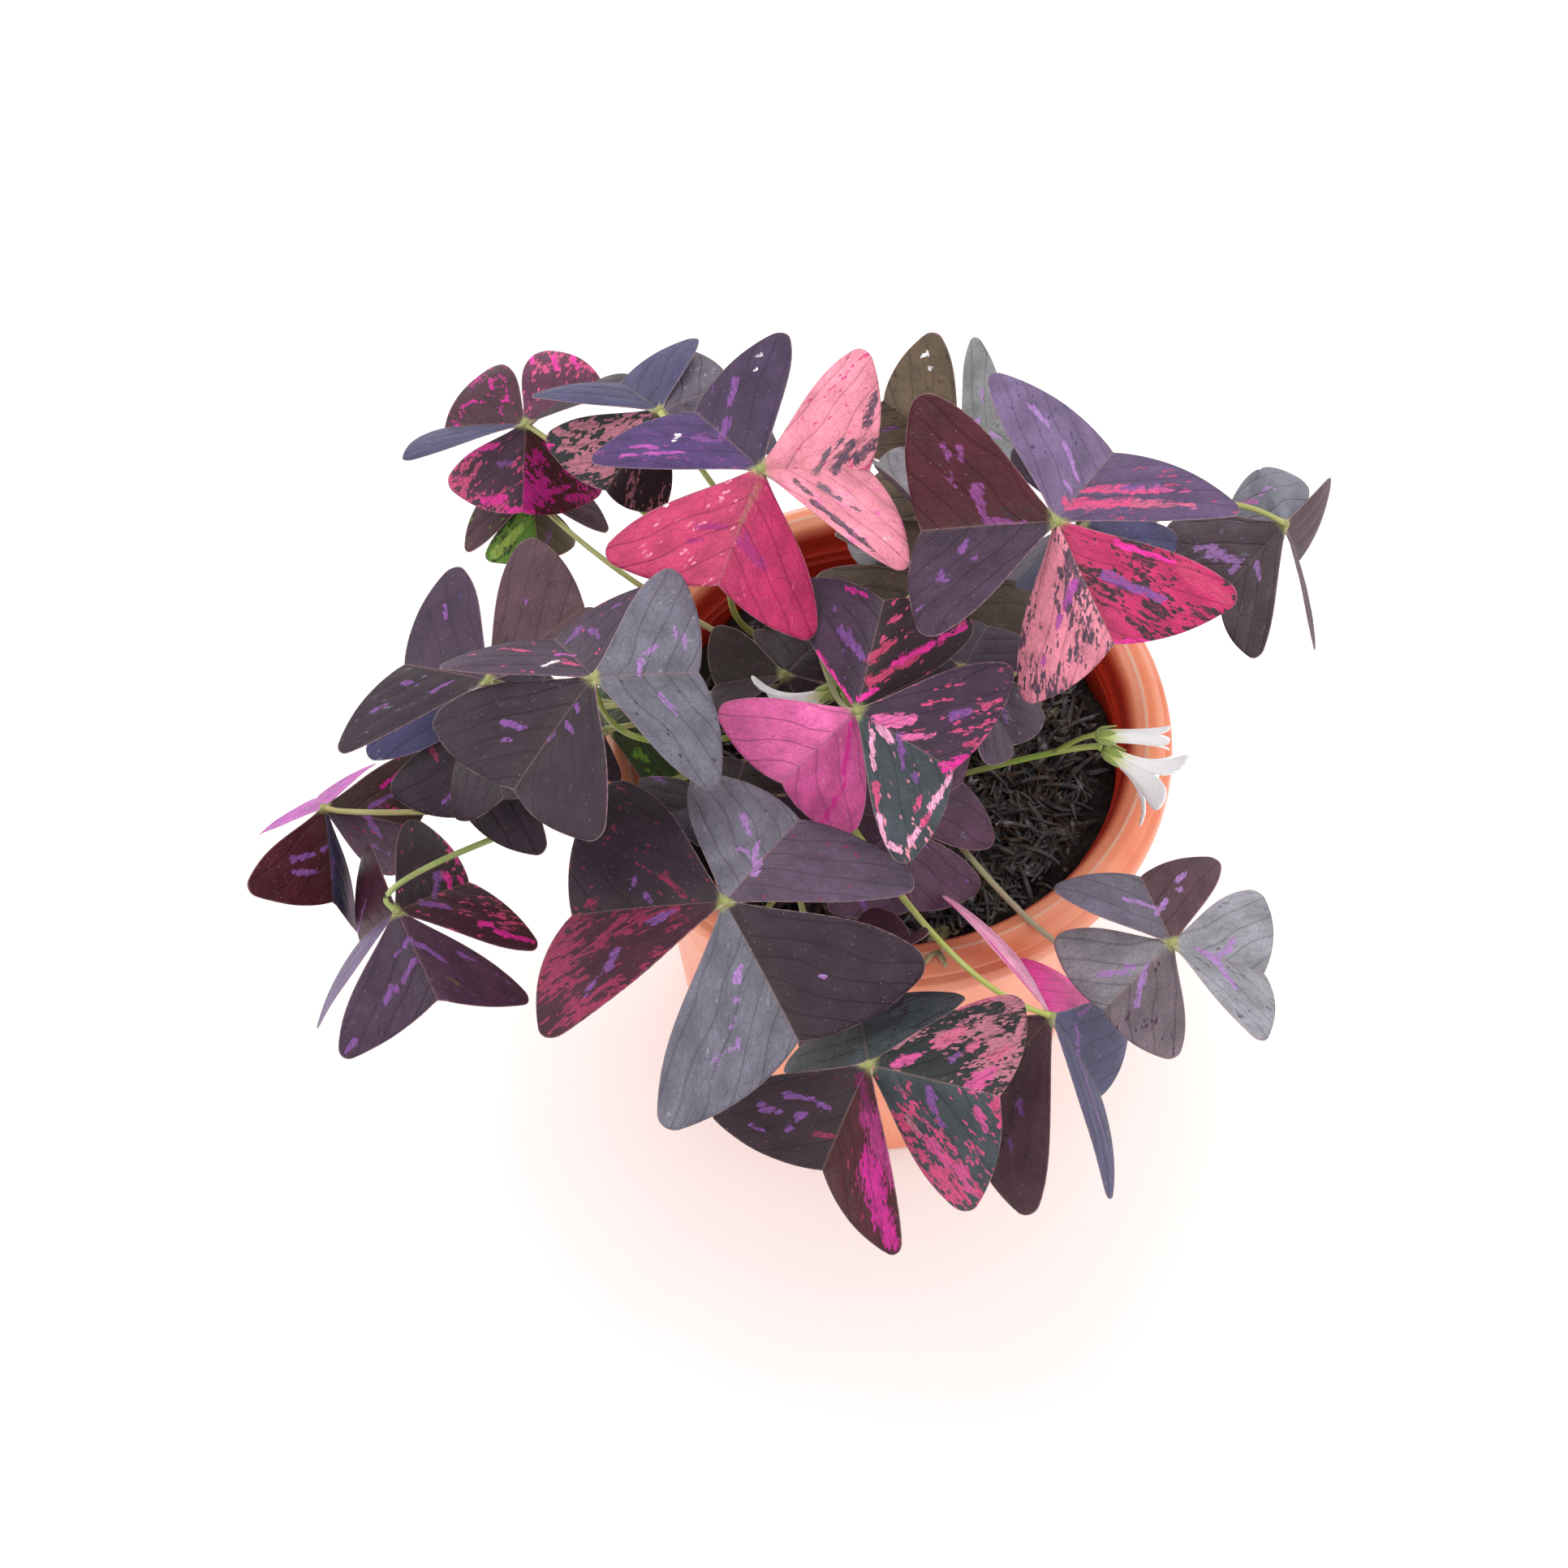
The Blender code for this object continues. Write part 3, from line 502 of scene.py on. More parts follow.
def scrap(centre, heading, length, width, curl):
    """An oval sheet 0.3 mm thick: width (1 - u^4)^0.5, raised by curl (u^2 + 0.6 sin(5 v) u)."""
    u, v = np.linspace(-1, 1, 15)[:, None], np.linspace(-1, 1, 9)[None]
    taper = 0.12 + 0.88 * np.sqrt(np.maximum(1 - u**4, 0))
    rise = curl * (u * u + 0.6 * np.sin(5 * v) * u)
    top = np.stack([u * length / 2 + 0 * v, v * taper * width / 2, rise], -1)
    points, upper, lower, rim = shell(top, top - [0, 0, 0.3])
    c, s = math.cos(math.radians(heading)), math.sin(math.radians(heading))
    points = points @ np.array([[c, s, 0], [-s, c, 0], [0, 0, 1]]) + np.array(centre)
    return points, np.vstack([upper, lower, rim])


# Each scrap's x, y, lift off the soil, heading, length, width and curl.
SCRAPS = (
    (10.6, -45.6, 1.4, 25, 7.0, 4.2, 0.8),
    (7.0, -43.4, 1.3, 100, 5.0, 3.0, 0.9),
    (38.7, 12.2, 1.0, 30, 3.4, 2.4, 1.0),
    (14.2, -43.8, 1.2, 140, 4.0, 1.8, 0.7),
)
bits, bit_quads, start = [], [], 0
for x, y, lift, heading, length, width, curl in SCRAPS:
    points, quads = scrap((x, y, float(soil_height(x, y)) + lift), heading, length, width, curl)
    bits.append(points)
    bit_quads.append(quads + start)
    start += len(points)
stub = [(5.6, -62.2, 126.6), (7.4, -60.6, 127.6), (9.2, -59.0, 128.0), (10.4, -58.6, 128.4)]
stub += [(11.4, -60.0, 128.0), (12.2, -61.6, 127.3)]
points, quads, caps = limb(stub, [0.75, 0.7, 0.6, 0.9, 0.8, 0.4], 7)
bits.append(points)
bit_quads.append(quads + start)
litter = solid_piece("dry_litter", np.vstack(bits), np.vstack(bit_quads), caps + start)

# Dead leaf and stalk: matt, bleached straw to drab green in blotches of 3 mm, painted darker in its
# creases as painted shade.
dead_leaf, tree = new_material("dead_leaf_litter")
coords = add(tree, "TexCoord").outputs["Object"]
patch = add(tree, "TexNoise", {"Vector": coords, "Scale": 320.0, "Detail": 4.0, "Roughness": 0.7})
tint = add(tree, "ValToRGB", {0: patch}, ((0.34, "#3c3622"), (0.66, "#c9bf95"), (0.48, "#8d8158")))
bump = add(tree, "Bump", {"Height": patch, "Strength": 0.6, "Distance": 0.0005})
surfaced(tree, {"Base Color": tint, "Roughness": 0.75, "Normal": bump})
litter.data.materials.append(dead_leaf)
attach(litter, "root")

# ---------------------------------------------------------------------------------------------
# The leaves. Each is three leaflets on a knob at the stalk's end; a leaflet is a thin blade of two
# lobes, creased along its midrib, quilted between its side veins, and patched plum, pink and violet.
# ---------------------------------------------------------------------------------------------
NOTCH = 0.70
TIP_ROUND = 0.085
SIDE_BOW = 0.055
MARGIN_BOW = 0.08
SAG = 0.08
ARCH = 0.03
HALF_NECK = 0.8
BLADE = 0.36
PILLOW = 0.2
VEIN_SPACING = 6.2
VEIN_LEAN = 0.9
ROWS = 38

# Where each leaf stands, as its place: hub; root; the stalk's rise from the soil and the way it comes
# into the knob (x, y, z); length. Then each leaflet: its heading, pitch, roll, fold and spread; the
# looks of its two halves, or one look for both, as ground, speck and the speck's percent near the hub
# and at the tip; and its strokes, each a tone, two ends on the flat leaflet (x out, y to the left) and
# a half width, in mm.
LEAVES = {
    "far_left_back": ((-81, 55, 166), (-7, 6), (22, -31, 20, 9), 30, [
        ((165, -20, 25, -10, 51), ("blue_violet", "violet", 4, 4), ("wine_plum", "magenta", 14, 24), [
            ("magenta", 19, -6.5, 16.5, -8.5, 0.7), ("magenta", 16.5, -17, 13.5, -12, 0.6),
        ]),
        ((40, 0, -35, -10, 48), ("maroon_plum", "rose", 22, 32), ("dark_plum", "violet", 4, 4), [
            ("hot_pink", 16.5, 22, 14.5, 18.5, 0.7), ("hot_pink", 20, 17.5, 16, 10, 0.7),
            ("hot_pink", 22, 12.5, 19.5, 6.5, 0.7), ("rose", 21.5, 6, 21.5, 1.5, 0.7),
        ]),
        ((265, -50, -5, 40, 48), ("maroon", "magenta", 22, 55), ("plum", "rose", 16, 48), [
            ("hot_pink", 8.5, -13, 6.5, -8, 0.9), ("hot_pink", 11.5, -18, 10, -15, 0.6),
            ("violet", 11, -7, 9.5, -3.5, 0.7), ("hot_pink", 20.5, -11, 18, -5, 1.1),
            ("hot_pink", 21, -4.5, 21.5, 2.5, 1.1), ("magenta", 17, 6.5, 16.5, 13, 1.1),
            ("magenta", 19, 13, 20, 20, 0.9),
        ]),
    ]),
    "left_back": ((-50, 38, 195), (0, -21), (55, -9, 16, -1), 31, [
        ((120, -30, 5, -10, 39), ("blue_violet", "violet", 2, 2), []),
        ((225, -40, -35, 45, 42), ("night_plum", "dusty", 38, 45), ("night", "dusty", 40, 45), [
            ("dusty", 16, -17, 11.5, -11.5, 0.9), ("rose", 10.5, -3, 8, -0.5, 0.9),
            ("hot_pink", 23, -19.5, 21.5, -17.5, 0.6), ("dusty", 19.5, -20, 16.5, -14, 0.7),
            ("dusty", 23.5, -5.5, 22.5, -2, 0.9), ("dusty", 21, 8, 19, 7.5, 0.9),
        ]),
        ((40, -20, 5, 25, 33), ("mauve", "sheen_grey", 8, 10), ("mauve", "plum", 6, 8), []),
    ]),
    "back_centre": ((-28, 9, 215), (-22, 20), (33, 18, -8, 92), 37, [
        ((125, -15, -5, -10, 42), ("deep_violet", "orchid_dark", 14, 10), ("night_violet", "violet", 4, 3), [
            ("violet", 17, 5, 12.5, 2, 0.9), ("orchid", 22, 20.5, 14, 9.5, 0.6),
            ("orchid", 23, 17, 18.5, 12.5, 0.6), ("violet", 24, -10.5, 19.5, -5.5, 0.9),
            ("violet", 16.5, -2.5, 12.5, 2, 1.1), ("scar", 25, -18, 25, -17.5, 0.6),
            ("scar", 22.5, -15, 22.5, -14.5, 0.6), ("scar", 20, 7.5, 18.5, 9.5, 0.6),
        ]),
        ((250, -20, -25, 10, 39), ("crimson", "rose", 10, 6), ("rose_red", "salmon", 12, 10), [
            ("plum_pink", 16, -8, 14, -2.5, 0.7), ("plum_pink", 19.5, -9, 18, -6.5, 0.6),
            ("scar", 14, -16, 14, -15.5, 0.6), ("plum_pink", 15.5, 2, 19, 8, 1.4),
            ("olive_pink", 3.5, 1, 15, -0.5, 0.7),
        ]),
        ((15, -20, 15, -15, 42), ("salmon", "rose", 12, 20), ("salmon", "bright_pink", 12, 22), [
            ("dusk", 25, 9, 28, 16.5, 1.1), ("dusk", 17, -0.5, 21.5, 5.5, 1.2),
            ("dusk", 23, 2.5, 27.5, 6.5, 1.2), ("mauve", 12.5, -1, 16, 4, 0.7),
            ("mauve", 18, 5, 19.5, 6.5, 0.6), ("dusk", 7, -3.5, 9.5, -7, 0.7),
            ("dusk", 9.5, -9, 12.5, -12.5, 0.7), ("dusk", 13, -13.5, 16.5, -17.5, 0.9),
            ("dusk", 17.5, -18.5, 20, -21.5, 0.7), ("mauve", 12.5, -4.5, 16, -8.5, 0.7),
            ("mauve", 18, -10, 20.5, -12, 0.6), ("scar", 24, -18, 24, -18, 0.6),
        ]),
    ]),
    "back": ((17, 59, 150), (8, -3), (35, -13, 23, 26), 31, [
        ((145, 5, -45, 40, 42), ("olive", "brown", 12, 16), [
            ("violet", 19.5, 9.5, 16, 5, 0.6), ("scar", 20.5, -16, 20.5, -14.5, 0.6),
            ("scar", 17.5, -13.5, 17, -13, 0.6),
        ]),
        ((55, -20, 45, 5, 33), ("sheen_grey_green", "sheen_grey", 10, 10), ("sheen_grey_green", "olive", 10, 10), [
            ("lilac", 16.5, 7.5, 14.5, 5, 0.6), ("lilac", 6.5, 2.5, 11, 2.5, 0.9),
            ("lilac", 12.5, -2, 15, -4.5, 0.6),
        ]),
        ((220, -45, 20, 0, 36), ("olive", "brown", 12, 12), []),
    ]),
    "back_right": ((33, -4, 215), (16, 5), (42, -25, 4, 46), 40, [
        ((180, -5, -5, -15, 45), ("plum_slate", "dark_plum", 12, 8), ("maroon", "dark_plum", 14, 10), [
            ("violet", 20, 7.5, 18.5, 4, 0.7), ("violet", 17.5, 10, 16.5, 8.5, 0.6),
            ("violet", 24, 15, 23.5, 12.5, 0.9), ("violet", 29, 22, 26, 20.5, 0.6),
            ("orchid_dark", 23, -17, 21.5, -14, 0.7), ("orchid_dark", 19.5, -16.5, 19, -13.5, 0.7),
            ("orchid_dark", 22, -11, 20.5, -8.5, 0.7), ("orchid_dark", 16.5, -7.5, 14.5, -1, 1.1),
            ("orchid_dark", 14.5, -1, 6.5, 0, 0.6),
        ]),
        ((60, -15, 5, -10, 48), ("violet_grey", "blue_violet", 14, 12), ("dusk_violet", "rose_red", 22, 12), [
            ("lilac", 23, 19.5, 21, 13.5, 0.7), ("lilac", 20, 9, 13.5, 2, 0.6),
            ("lilac", 10.5, 3.5, 9.5, 1.5, 0.6), ("rose", 6, 0, 13, -10.5, 1.6),
            ("bright_dusty", 13, -11, 19.5, -22, 1.1), ("rose", 12.5, -1, 17, -6.5, 0.9),
            ("hot_dusty", 17.5, -10, 24, -20, 0.7), ("rose", 11.5, -0.5, 20, -16, 0.6),
            ("violet", 17, -7.5, 22, -12.5, 0.6),
        ]),
        ((295, -20, 30, 25, 42), ("crimson", "night", 46, 30), ("salmon", "dusk", 44, 36), [
            ("rose_red", 19.5, 20.5, 29, 25.5, 1.6), ("hot_pink", 9, 9.5, 17.5, 19, 0.6),
            ("hot_pink", 28, 1, 30.5, 7.5, 0.7), ("violet", 14.5, 4.5, 23.5, 13.5, 1.1),
            ("orchid", 13, -2, 16.5, -7.5, 0.9), ("orchid", 18, -9, 19.5, -12, 0.7),
            ("orchid", 23.5, -17.5, 24.5, -19.5, 0.6), ("salmon", 7, -4.5, 24, -24.5, 1.1),
        ]),
    ]),
    "far_right": ((86, 22, 175), (21, 7), (6, 34, -11, -17), 32, [
        ((215, -40, 20, -10, 45), ("ash_plum", "slate", 10, 10), [
            ("lilac", 19, -13, 15, -9, 0.7), ("lilac", 17, -9, 13.5, -2.5, 1.2),
            ("lilac", 16.5, -2, 12.5, -2, 0.7), ("lilac", 10.5, 2, 11.5, 7.5, 0.7),
        ]),
        ((100, -20, -15, 55, 27), ("sheen_blue_grey", "slate", 10, 10), [
            ("orchid", 22, 10.5, 15, 5, 0.7), ("lilac", 15.5, 3.5, 14, -2, 0.6),
        ]),
        ((30, -70, 40, -15, 39), ("wine_plum", "plum", 15, 10), []),
    ]),
    "left_top": ((-61, -46, 222), (-1, 11), (19, 0, -14, 80), 39, [
        ((115, -35, 0, -5, 36), ("plum_slate", "rose", 6, 5), ("plum_slate", "rose", 10, 8), [
            ("violet", 24.5, -5.5, 21.5, -1, 0.9), ("violet", 20.5, -6.5, 14.5, -6.5, 0.7),
            ("violet", 25.5, -13, 26.5, -16, 0.6), ("rose", 27.5, 11, 21.5, 7, 0.6),
            ("orchid", 16.5, 2.5, 13.5, -0.5, 0.6), ("rose", 10.5, 2.5, 7.5, 0.5, 0.6),
            ("scar", 12, 6.5, 12.5, 3.5, 0.6),
        ]),
        ((230, -20, 25, -5, 48), ("dark_plum", "charcoal", 12, 6), ("dark_plum", "charcoal", 16, 6), [
            ("violet", 18, -12, 16, -5.5, 0.7), ("violet", 20.5, -8.5, 19.5, -6.5, 0.6),
            ("violet", 15, 0.5, 13.5, 1, 0.7), ("violet", 10.5, 2, 11.5, 6.5, 0.6),
            ("violet", 6.5, 1, 7.5, 3.5, 0.6),
        ]),
        ((25, -30, 25, 15, 36), ("slate", "sheen_grey", 6, 6), ("slate", "charcoal", 6, 6), [
            ("lilac", 12.5, 3, 11.5, 0, 0.7), ("lilac", 15, 4.5, 18, 6, 0.7),
            ("lilac", 24, 9.5, 23.5, 7.5, 0.6), ("lilac", 26, 8, 25, 5.5, 0.6),
            ("lilac", 16, -4.5, 20.5, -9, 0.6),
        ]),
    ]),
    "left": ((-85, -24, 185), (-13, 6), (14, -30, -20, 50), 36, [
        ((35, 20, -30, -15, 45), ("brown_plum", "dark_plum", 8, 8), ("brown_plum", "charcoal", 10, 8), [
            ("violet", 16.5, 11, 16, 10, 0.6),
        ]),
        ((150, -25, -5, -5, 42), ("dark_plum", "slate", 8, 6), ("plum_slate", "blue_violet", 8, 8), [
            ("violet", 22, -14.5, 19, -11.5, 0.6), ("violet", 23.5, 14.5, 20.5, 11.5, 0.6),
            ("violet", 11.5, 6, 8.5, 2, 0.6), ("violet", 20.5, 5, 16.5, 5, 0.6),
        ]),
        ((275, -20, 65, 0, 48), ("dark_plum", "charcoal", 8, 6), []),
    ]),
    "left_low": ((-86, -18, 161), (-10, 17), (11, -30, 3, -7), 33, [
        ((40, -30, 0, 15, 42), ("dark_plum", "plum", 8, 8), []),
        ((250, -35, 25, 0, 42), ("dark_plum", "plum", 8, 6), ("dark_plum", "maroon", 8, 6), [
            ("violet", 21.5, -6.5, 17, -1.5, 0.7), ("violet", 17.5, -1, 12.5, 4, 0.7),
            ("red", 12, -13.5, 13.5, -11, 0.7),
        ]),
        ((150, -10, 5, 45, 33), ("blue_violet", "slate", 8, 6), ("plum", "maroon", 8, 8), []),
    ]),
    "far_left": ((-124, -28, 138), (-8, -18), (16, -10, 5, -4), 31, [
        ((0, -25, 40, 45, 39), ("brown", "magenta", 6, 16), ("plum", "magenta", 6, 10), [
            ("magenta", 13, 9, 16, 12.5, 0.6), ("magenta", 16.5, 13.5, 19, 16, 0.6),
            ("violet", 10.5, 3, 17.5, 9, 0.6), ("violet", 9.5, 0.5, 15.5, -6, 0.7),
            ("violet", 15, -9.5, 20, -12, 0.6),
        ]),
        ((280, -10, -60, 20, 45), ("blue_violet", "slate", 6, 6), ("maroon", "plum", 10, 10), [
            ("violet", 13.5, -11, 11.5, -5, 0.7), ("violet", 16.5, -11, 15.5, -4, 0.7),
            ("violet", 10.5, -2.5, 9, -0.5, 0.6), ("violet", 11.5, 2, 16, 0, 0.6),
        ]),
        ((110, -50, -15, 5, 27), ("orchid", "lilac", 14, 18), ("orchid", "magenta", 16, 20), [
            ("violet", 14, -4, 27.5, -12.5, 0.7),
        ]),
    ]),
    "far_left_front": ((-106, -58, 146), (-5, -1), (25, 9, -5, -7), 34, [
        ((45, -30, 5, 5, 36), ("night_plum", "rose", 8, 18), ("wine_plum", "rose", 18, 34), [
            ("hot_pink", 28, 11.5, 25, 5, 0.9), ("hot_pink", 19.5, 3.5, 17.5, 0, 0.9),
            ("hot_pink", 22, 1.5, 21.5, -0.5, 0.6), ("violet", 17.5, 4, 11.5, -0.5, 0.9),
            ("violet", 7.5, -0.5, 12.5, -4.5, 0.9), ("hot_pink", 16.5, -11, 20, -12, 0.7),
            ("hot_pink", 19, -14, 26.5, -19.5, 0.7),
        ]),
        ((295, 5, -10, 25, 42), ("plum", "violet", 8, 6), ("plum_slate", "plum", 14, 8), [
            ("violet", 9.5, 1.5, 15, 6.5, 0.7), ("violet", 8, 0, 10, -4.5, 0.7),
            ("violet", 13, -1, 16.5, -5.5, 0.7), ("violet", 17, -8, 19, -11, 0.9),
            ("violet", 12.5, 10.5, 14.5, 14, 0.6), ("olive", 19, 5, 21, 7, 0.6),
            ("violet", 23, -20, 24, -22.5, 0.6),
        ]),
        ((160, -60, -10, -10, 39), ("violet_grey", "plum", 14, 12), ("wine_plum", "plum", 14, 12), [
            ("violet", 24.5, -2, 18.5, -7.5, 0.6),
        ]),
    ]),
    "centre": ((-8, -35, 191), (-20, 23), (85, 8, -13, 23), 34, [
        ((75, 25, 5, 35, 42), ("plum_slate", "violet", 6, 6), ("night_plum", "rose", 12, 22), [
            ("violet", 16, 8.5, 11, 1.5, 1.1), ("magenta", 25, 10, 24, 4, 0.6),
            ("hot_pink", 10.5, 13.5, 1.5, 2, 0.6), ("rose_red", 11, -0.5, 16.5, -5, 0.9),
            ("rose_red", 6.5, -1.5, 14.5, -11.5, 0.9), ("hot_pink", 11.5, -6.5, 24, -21.5, 0.9),
            ("hot_pink", 2.5, 0, 5.5, -3.5, 0.7),
        ]),
        ((210, -40, -35, 30, 39), ("pink_red", "salmon", 8, 8), ("bright_pink", "salmon", 6, 6), [
            ("hot_pink", 27, 15, 14.5, 11, 0.7), ("hot_pink", 13.5, 9, 3, 1, 0.6),
        ]),
        ((335, -20, 15, -15, 45), ("plum_slate", "rose", 12, 24), ("slate_teal", "salmon", 8, 16), [
            ("bright_pink", 5.5, 0.5, 11, 4.5, 1.4), ("bright_pink", 11.5, 0.5, 16.5, 4, 0.7),
            ("violet", 17.5, 9, 20, 12.5, 1.1), ("rose", 22, 14, 25, 18.5, 0.6),
            ("rose", 25.5, 6.5, 26, 10, 0.6), ("hot_pink", 22.5, 0, 25, 4, 1.2),
            ("rose", 23, 5.5, 24.5, 7.5, 0.6), ("pale_pink", 4.5, -2.5, 9, -10, 0.6),
            ("rose", 10.5, -12.5, 13.5, -17.5, 0.6), ("pale_pink", 14.5, -18.5, 17.5, -22, 0.6),
            ("pale_pink", 6, -0.5, 9, -2, 1.1), ("pale_pink", 22.5, -20.5, 23, -16, 0.7),
            ("rose", 23, -15, 23.5, -11.5, 0.6), ("pale_pink", 23, -10.5, 24, -1, 0.7),
            ("rose", 20.5, -13, 20, -9, 0.6), ("violet", 10.5, 0, 14, -6, 0.7),
            ("pale_pink", 18.5, -22.5, 22, -22.5, 0.7), ("violet", 17, -6, 18, -7.5, 0.6),
        ]),
    ]),
    "front_top": ((-35, -81, 193), (-5, -8), (35, -2, -6, 62), 47, [
        ((60, -20, 0, 15, 33), ("slate", "sheen_grey", 6, 6), ("soft_plum", "red", 3, 5), [
            ("lilac", 27.5, 11, 21.5, 6, 0.7), ("lilac", 14.5, 1.5, 21, 3.5, 0.6),
            ("lilac", 11, -1, 16, 0.5, 0.9), ("lilac", 16.5, 5.5, 16, 3, 0.6),
        ]),
        ((175, -15, 15, -5, 48), ("wine_plum", "red", 30, 50), ("dark_plum", "red", 5, 14), [
            ("violet", 14, 5.5, 10.5, 2.5, 1.1), ("violet", 20.5, 19.5, 19.5, 12.5, 0.9),
            ("violet", 24, 26, 22, 21.5, 0.6), ("red", 14, -7.5, 8.5, -1.5, 0.7),
            ("violet", 17.5, -3, 15.5, -1, 0.6), ("violet", 20, -7, 20.5, -4.5, 0.6),
            ("red", 28, -3, 30, -1.5, 0.9),
        ]),
        ((305, -35, 0, 5, 42), ("dark_plum", "charcoal", 10, 6), ("slate", "sheen_grey", 6, 6), [
            ("lilac", 15, -5.5, 13, -3.5, 0.7), ("lilac", 18.5, -7.5, 19, -8, 0.6),
            ("lilac", 23, -11, 21, -9.5, 0.6), ("lilac", 27, -12.5, 25.5, -11, 0.7),
            ("lilac", 27.5, -18, 26, -15, 0.7), ("lilac", 23.5, 10.5, 24.5, 11.5, 0.6),
            ("lilac", 30, 17, 31, 18, 0.6),
        ]),
    ]),
    "front": ((-6, -106, 170), (-16, -10), (31, -16, -12, 60), 39, [
        ((345, 0, 20, 40, 48), ("night", "dusty", 40, 44), ("slate_teal", "rose", 30, 40), [
            ("bright_dusty", 12.5, 10, 16, 16.5, 1.6), ("hot_dusty", 5.5, 2, 9.5, 6, 1.1),
            ("bright_dusty", 19, 11, 20, 14, 1.1), ("bright_dusty", 23.5, 10, 27, 14, 1.4),
            ("hot_dusty", 22, 1.5, 24.5, 7, 1.6), ("dusty", 4, 6.5, 7.5, 12.5, 0.7),
            ("bright_dusty", 14, 22, 21, 28.5, 0.7), ("dusty", 27.5, 15, 27.5, 25, 0.9),
            ("violet", 16, 6.5, 17, 9, 0.6), ("violet", 13, -2.5, 15.5, -9, 0.9),
            ("violet", 16, -9, 19, -12, 0.6), ("violet", 25, -15, 26.5, -16, 0.6),
            ("hot_dusty", 23.5, -5, 26, -9, 0.9), ("hot_dusty", 15.5, -15, 19.5, -19.5, 1.2),
            ("hot_dusty", 21.5, -19.5, 26, -24.5, 1.1), ("rose", 17, -21.5, 23.5, -27, 0.9),
            ("dusty", 9.5, -10, 13, -14.5, 0.7), ("night", 17, 23, 25.5, 24, 1.4),
        ]),
        ((235, -50, 10, -15, 42), ("maroon", "red", 10, 14), ("night_plum", "wine_plum", 12, 10), [
            ("magenta", 17, 12.5, 26.5, 24, 3.2), ("plum_pink", 9, 6.5, 14.5, 18.5, 2.5),
            ("deep_magenta", 4, 0, 10.5, 10, 1.2), ("violet", 21, -16.5, 19.5, -12.5, 0.9),
            ("violet", 15.5, -13, 13, -7, 0.7), ("violet", 18.5, -8.5, 17, -7.5, 0.9),
            ("violet", 22.5, -10, 21, -8.5, 0.6), ("violet", 26, -17, 25.5, -13, 0.6),
            ("red", 20, -4, 18.5, 0, 0.6), ("violet", 13.5, -5.5, 13, -3, 0.6),
        ]),
        ((95, -35, -20, 25, 33), ("slate_teal", "slate", 10, 8), ("slate_teal", "dark_plum", 10, 30), []),
    ]),
    "front_right": ((33, -85, 150), (-22, -8), (52, 31, -4, -12), 42, [
        ((100, -35, 45, 0, 27), ("pale_pink", "bright_pink", 6, 14), ("hot_pink", "magenta", 10, 16), [
            ("hot_pink", 32, 20.5, 3.5, 3, 0.7), ("pale_pink", 30.5, 18.5, 14.5, 11.5, 1.4),
        ]),
        ((220, -35, 20, 5, 39), ("brown_plum", "dark_plum", 10, 8), [
            ("violet", 17.5, 8, 18.5, 11.5, 0.7), ("violet", 24.5, 12.5, 25.5, 14.5, 0.6),
        ]),
        ((335, -60, -20, -5, 33), ("blue_violet", "slate", 10, 8), [
            ("violet", 10.5, 4.5, 21.5, -8.5, 0.7), ("violet", 21.5, -8.5, 29, -12.5, 0.6),
            ("violet", 10.5, 7.5, 15, 13.5, 0.6),
        ]),
    ]),
    "right_front": ((58, -73, 160), (-9, -7), (70, 20, -10, 76), 30, [
        ((105, -15, 5, 5, 36), ("violet_slate", "slate", 6, 6), ("brown_plum", "plum", 8, 6), [
            ("lilac", 14.5, 5.5, 12, 2, 0.6), ("lilac", 9, 0.5, 12.5, -3, 0.7),
            ("lilac", 10, -1, 11.5, 1.5, 0.6), ("lilac", 17.5, -7, 19.5, -9.5, 0.7),
            ("lilac", 14.5, -6.5, 15, -7, 0.6),
        ]),
        ((215, -35, -20, 35, 45), ("grey_plum", "plum", 10, 12), ("sheen_grey_olive", "slate", 8, 8), [
            ("lilac", 15.5, 5, 12, 2.5, 0.7), ("lilac", 11.5, 2, 7, -0.5, 0.7),
            ("lilac", 16.5, -7, 13, -4, 0.7), ("lilac", 13, -3.5, 11.5, -1.5, 0.6),
            ("lilac", 11, -4, 9.5, -2, 0.6),
        ]),
        ((350, -15, -20, -5, 48), ("sheen_grey", "mauve", 8, 8), ("sheen_grey", "mauve", 12, 12), [
            ("lilac", 10, -0.5, 12.5, 3, 0.7), ("lilac", 12, 2, 13.5, 6, 0.7),
            ("lilac", 5.5, 0, 9, -1, 0.6), ("lilac", 8.5, -0.5, 13.5, -9.5, 0.9),
        ]),
    ]),
    "inner_front": ((2, -40, 152), (-1, 7), (3, 0, -24, -3), 27, [
        ((280, -35, 0, 35, 48), ("mid_plum", "violet", 4, 4), [
            ("violet", 15.5, -12.5, 19.5, -10.5, 0.7), ("plum_pink", 15, -2.5, 16, -1, 0.6),
        ]),
        ((40, -10, 60, -10, 36), ("mid_plum", "slate", 8, 8), []),
        ((140, -35, -55, -15, 39), ("mid_plum", "slate", 8, 8), []),
    ]),
    "inner_left": ((-23, -1, 150), (0, -2), (18, -15, 1, 36), 22, [
        ((185, -5, 20, -15, 48), ("night_plum", "plum", 12, 12), ("brown_dark", "plum", 12, 12), []),
        ((300, -25, 0, 15, 42), ("night_plum", "olive", 12, 12), ("brown_dark", "olive", 12, 12), []),
        ((60, -25, 0, 15, 42), ("night_plum", "plum", 12, 12), []),
    ]),
    "inner_right": ((15, -16, 177), (4, 0), (18, 8, -12, 55), 28, [
        ((310, -25, -45, -5, 48), ("plum_slate", "slate", 12, 12), ("plum_slate", "plum", 12, 12), [
            ("violet", 11, 4, 15, 2, 0.7),
        ]),
        ((70, -25, 0, 15, 42), ("plum_slate", "slate", 12, 12), ("plum_slate", "plum", 12, 12), []),
        ((190, -25, 0, 15, 42), ("plum_slate", "slate", 12, 12), ("plum_slate", "plum", 12, 12), []),
    ]),
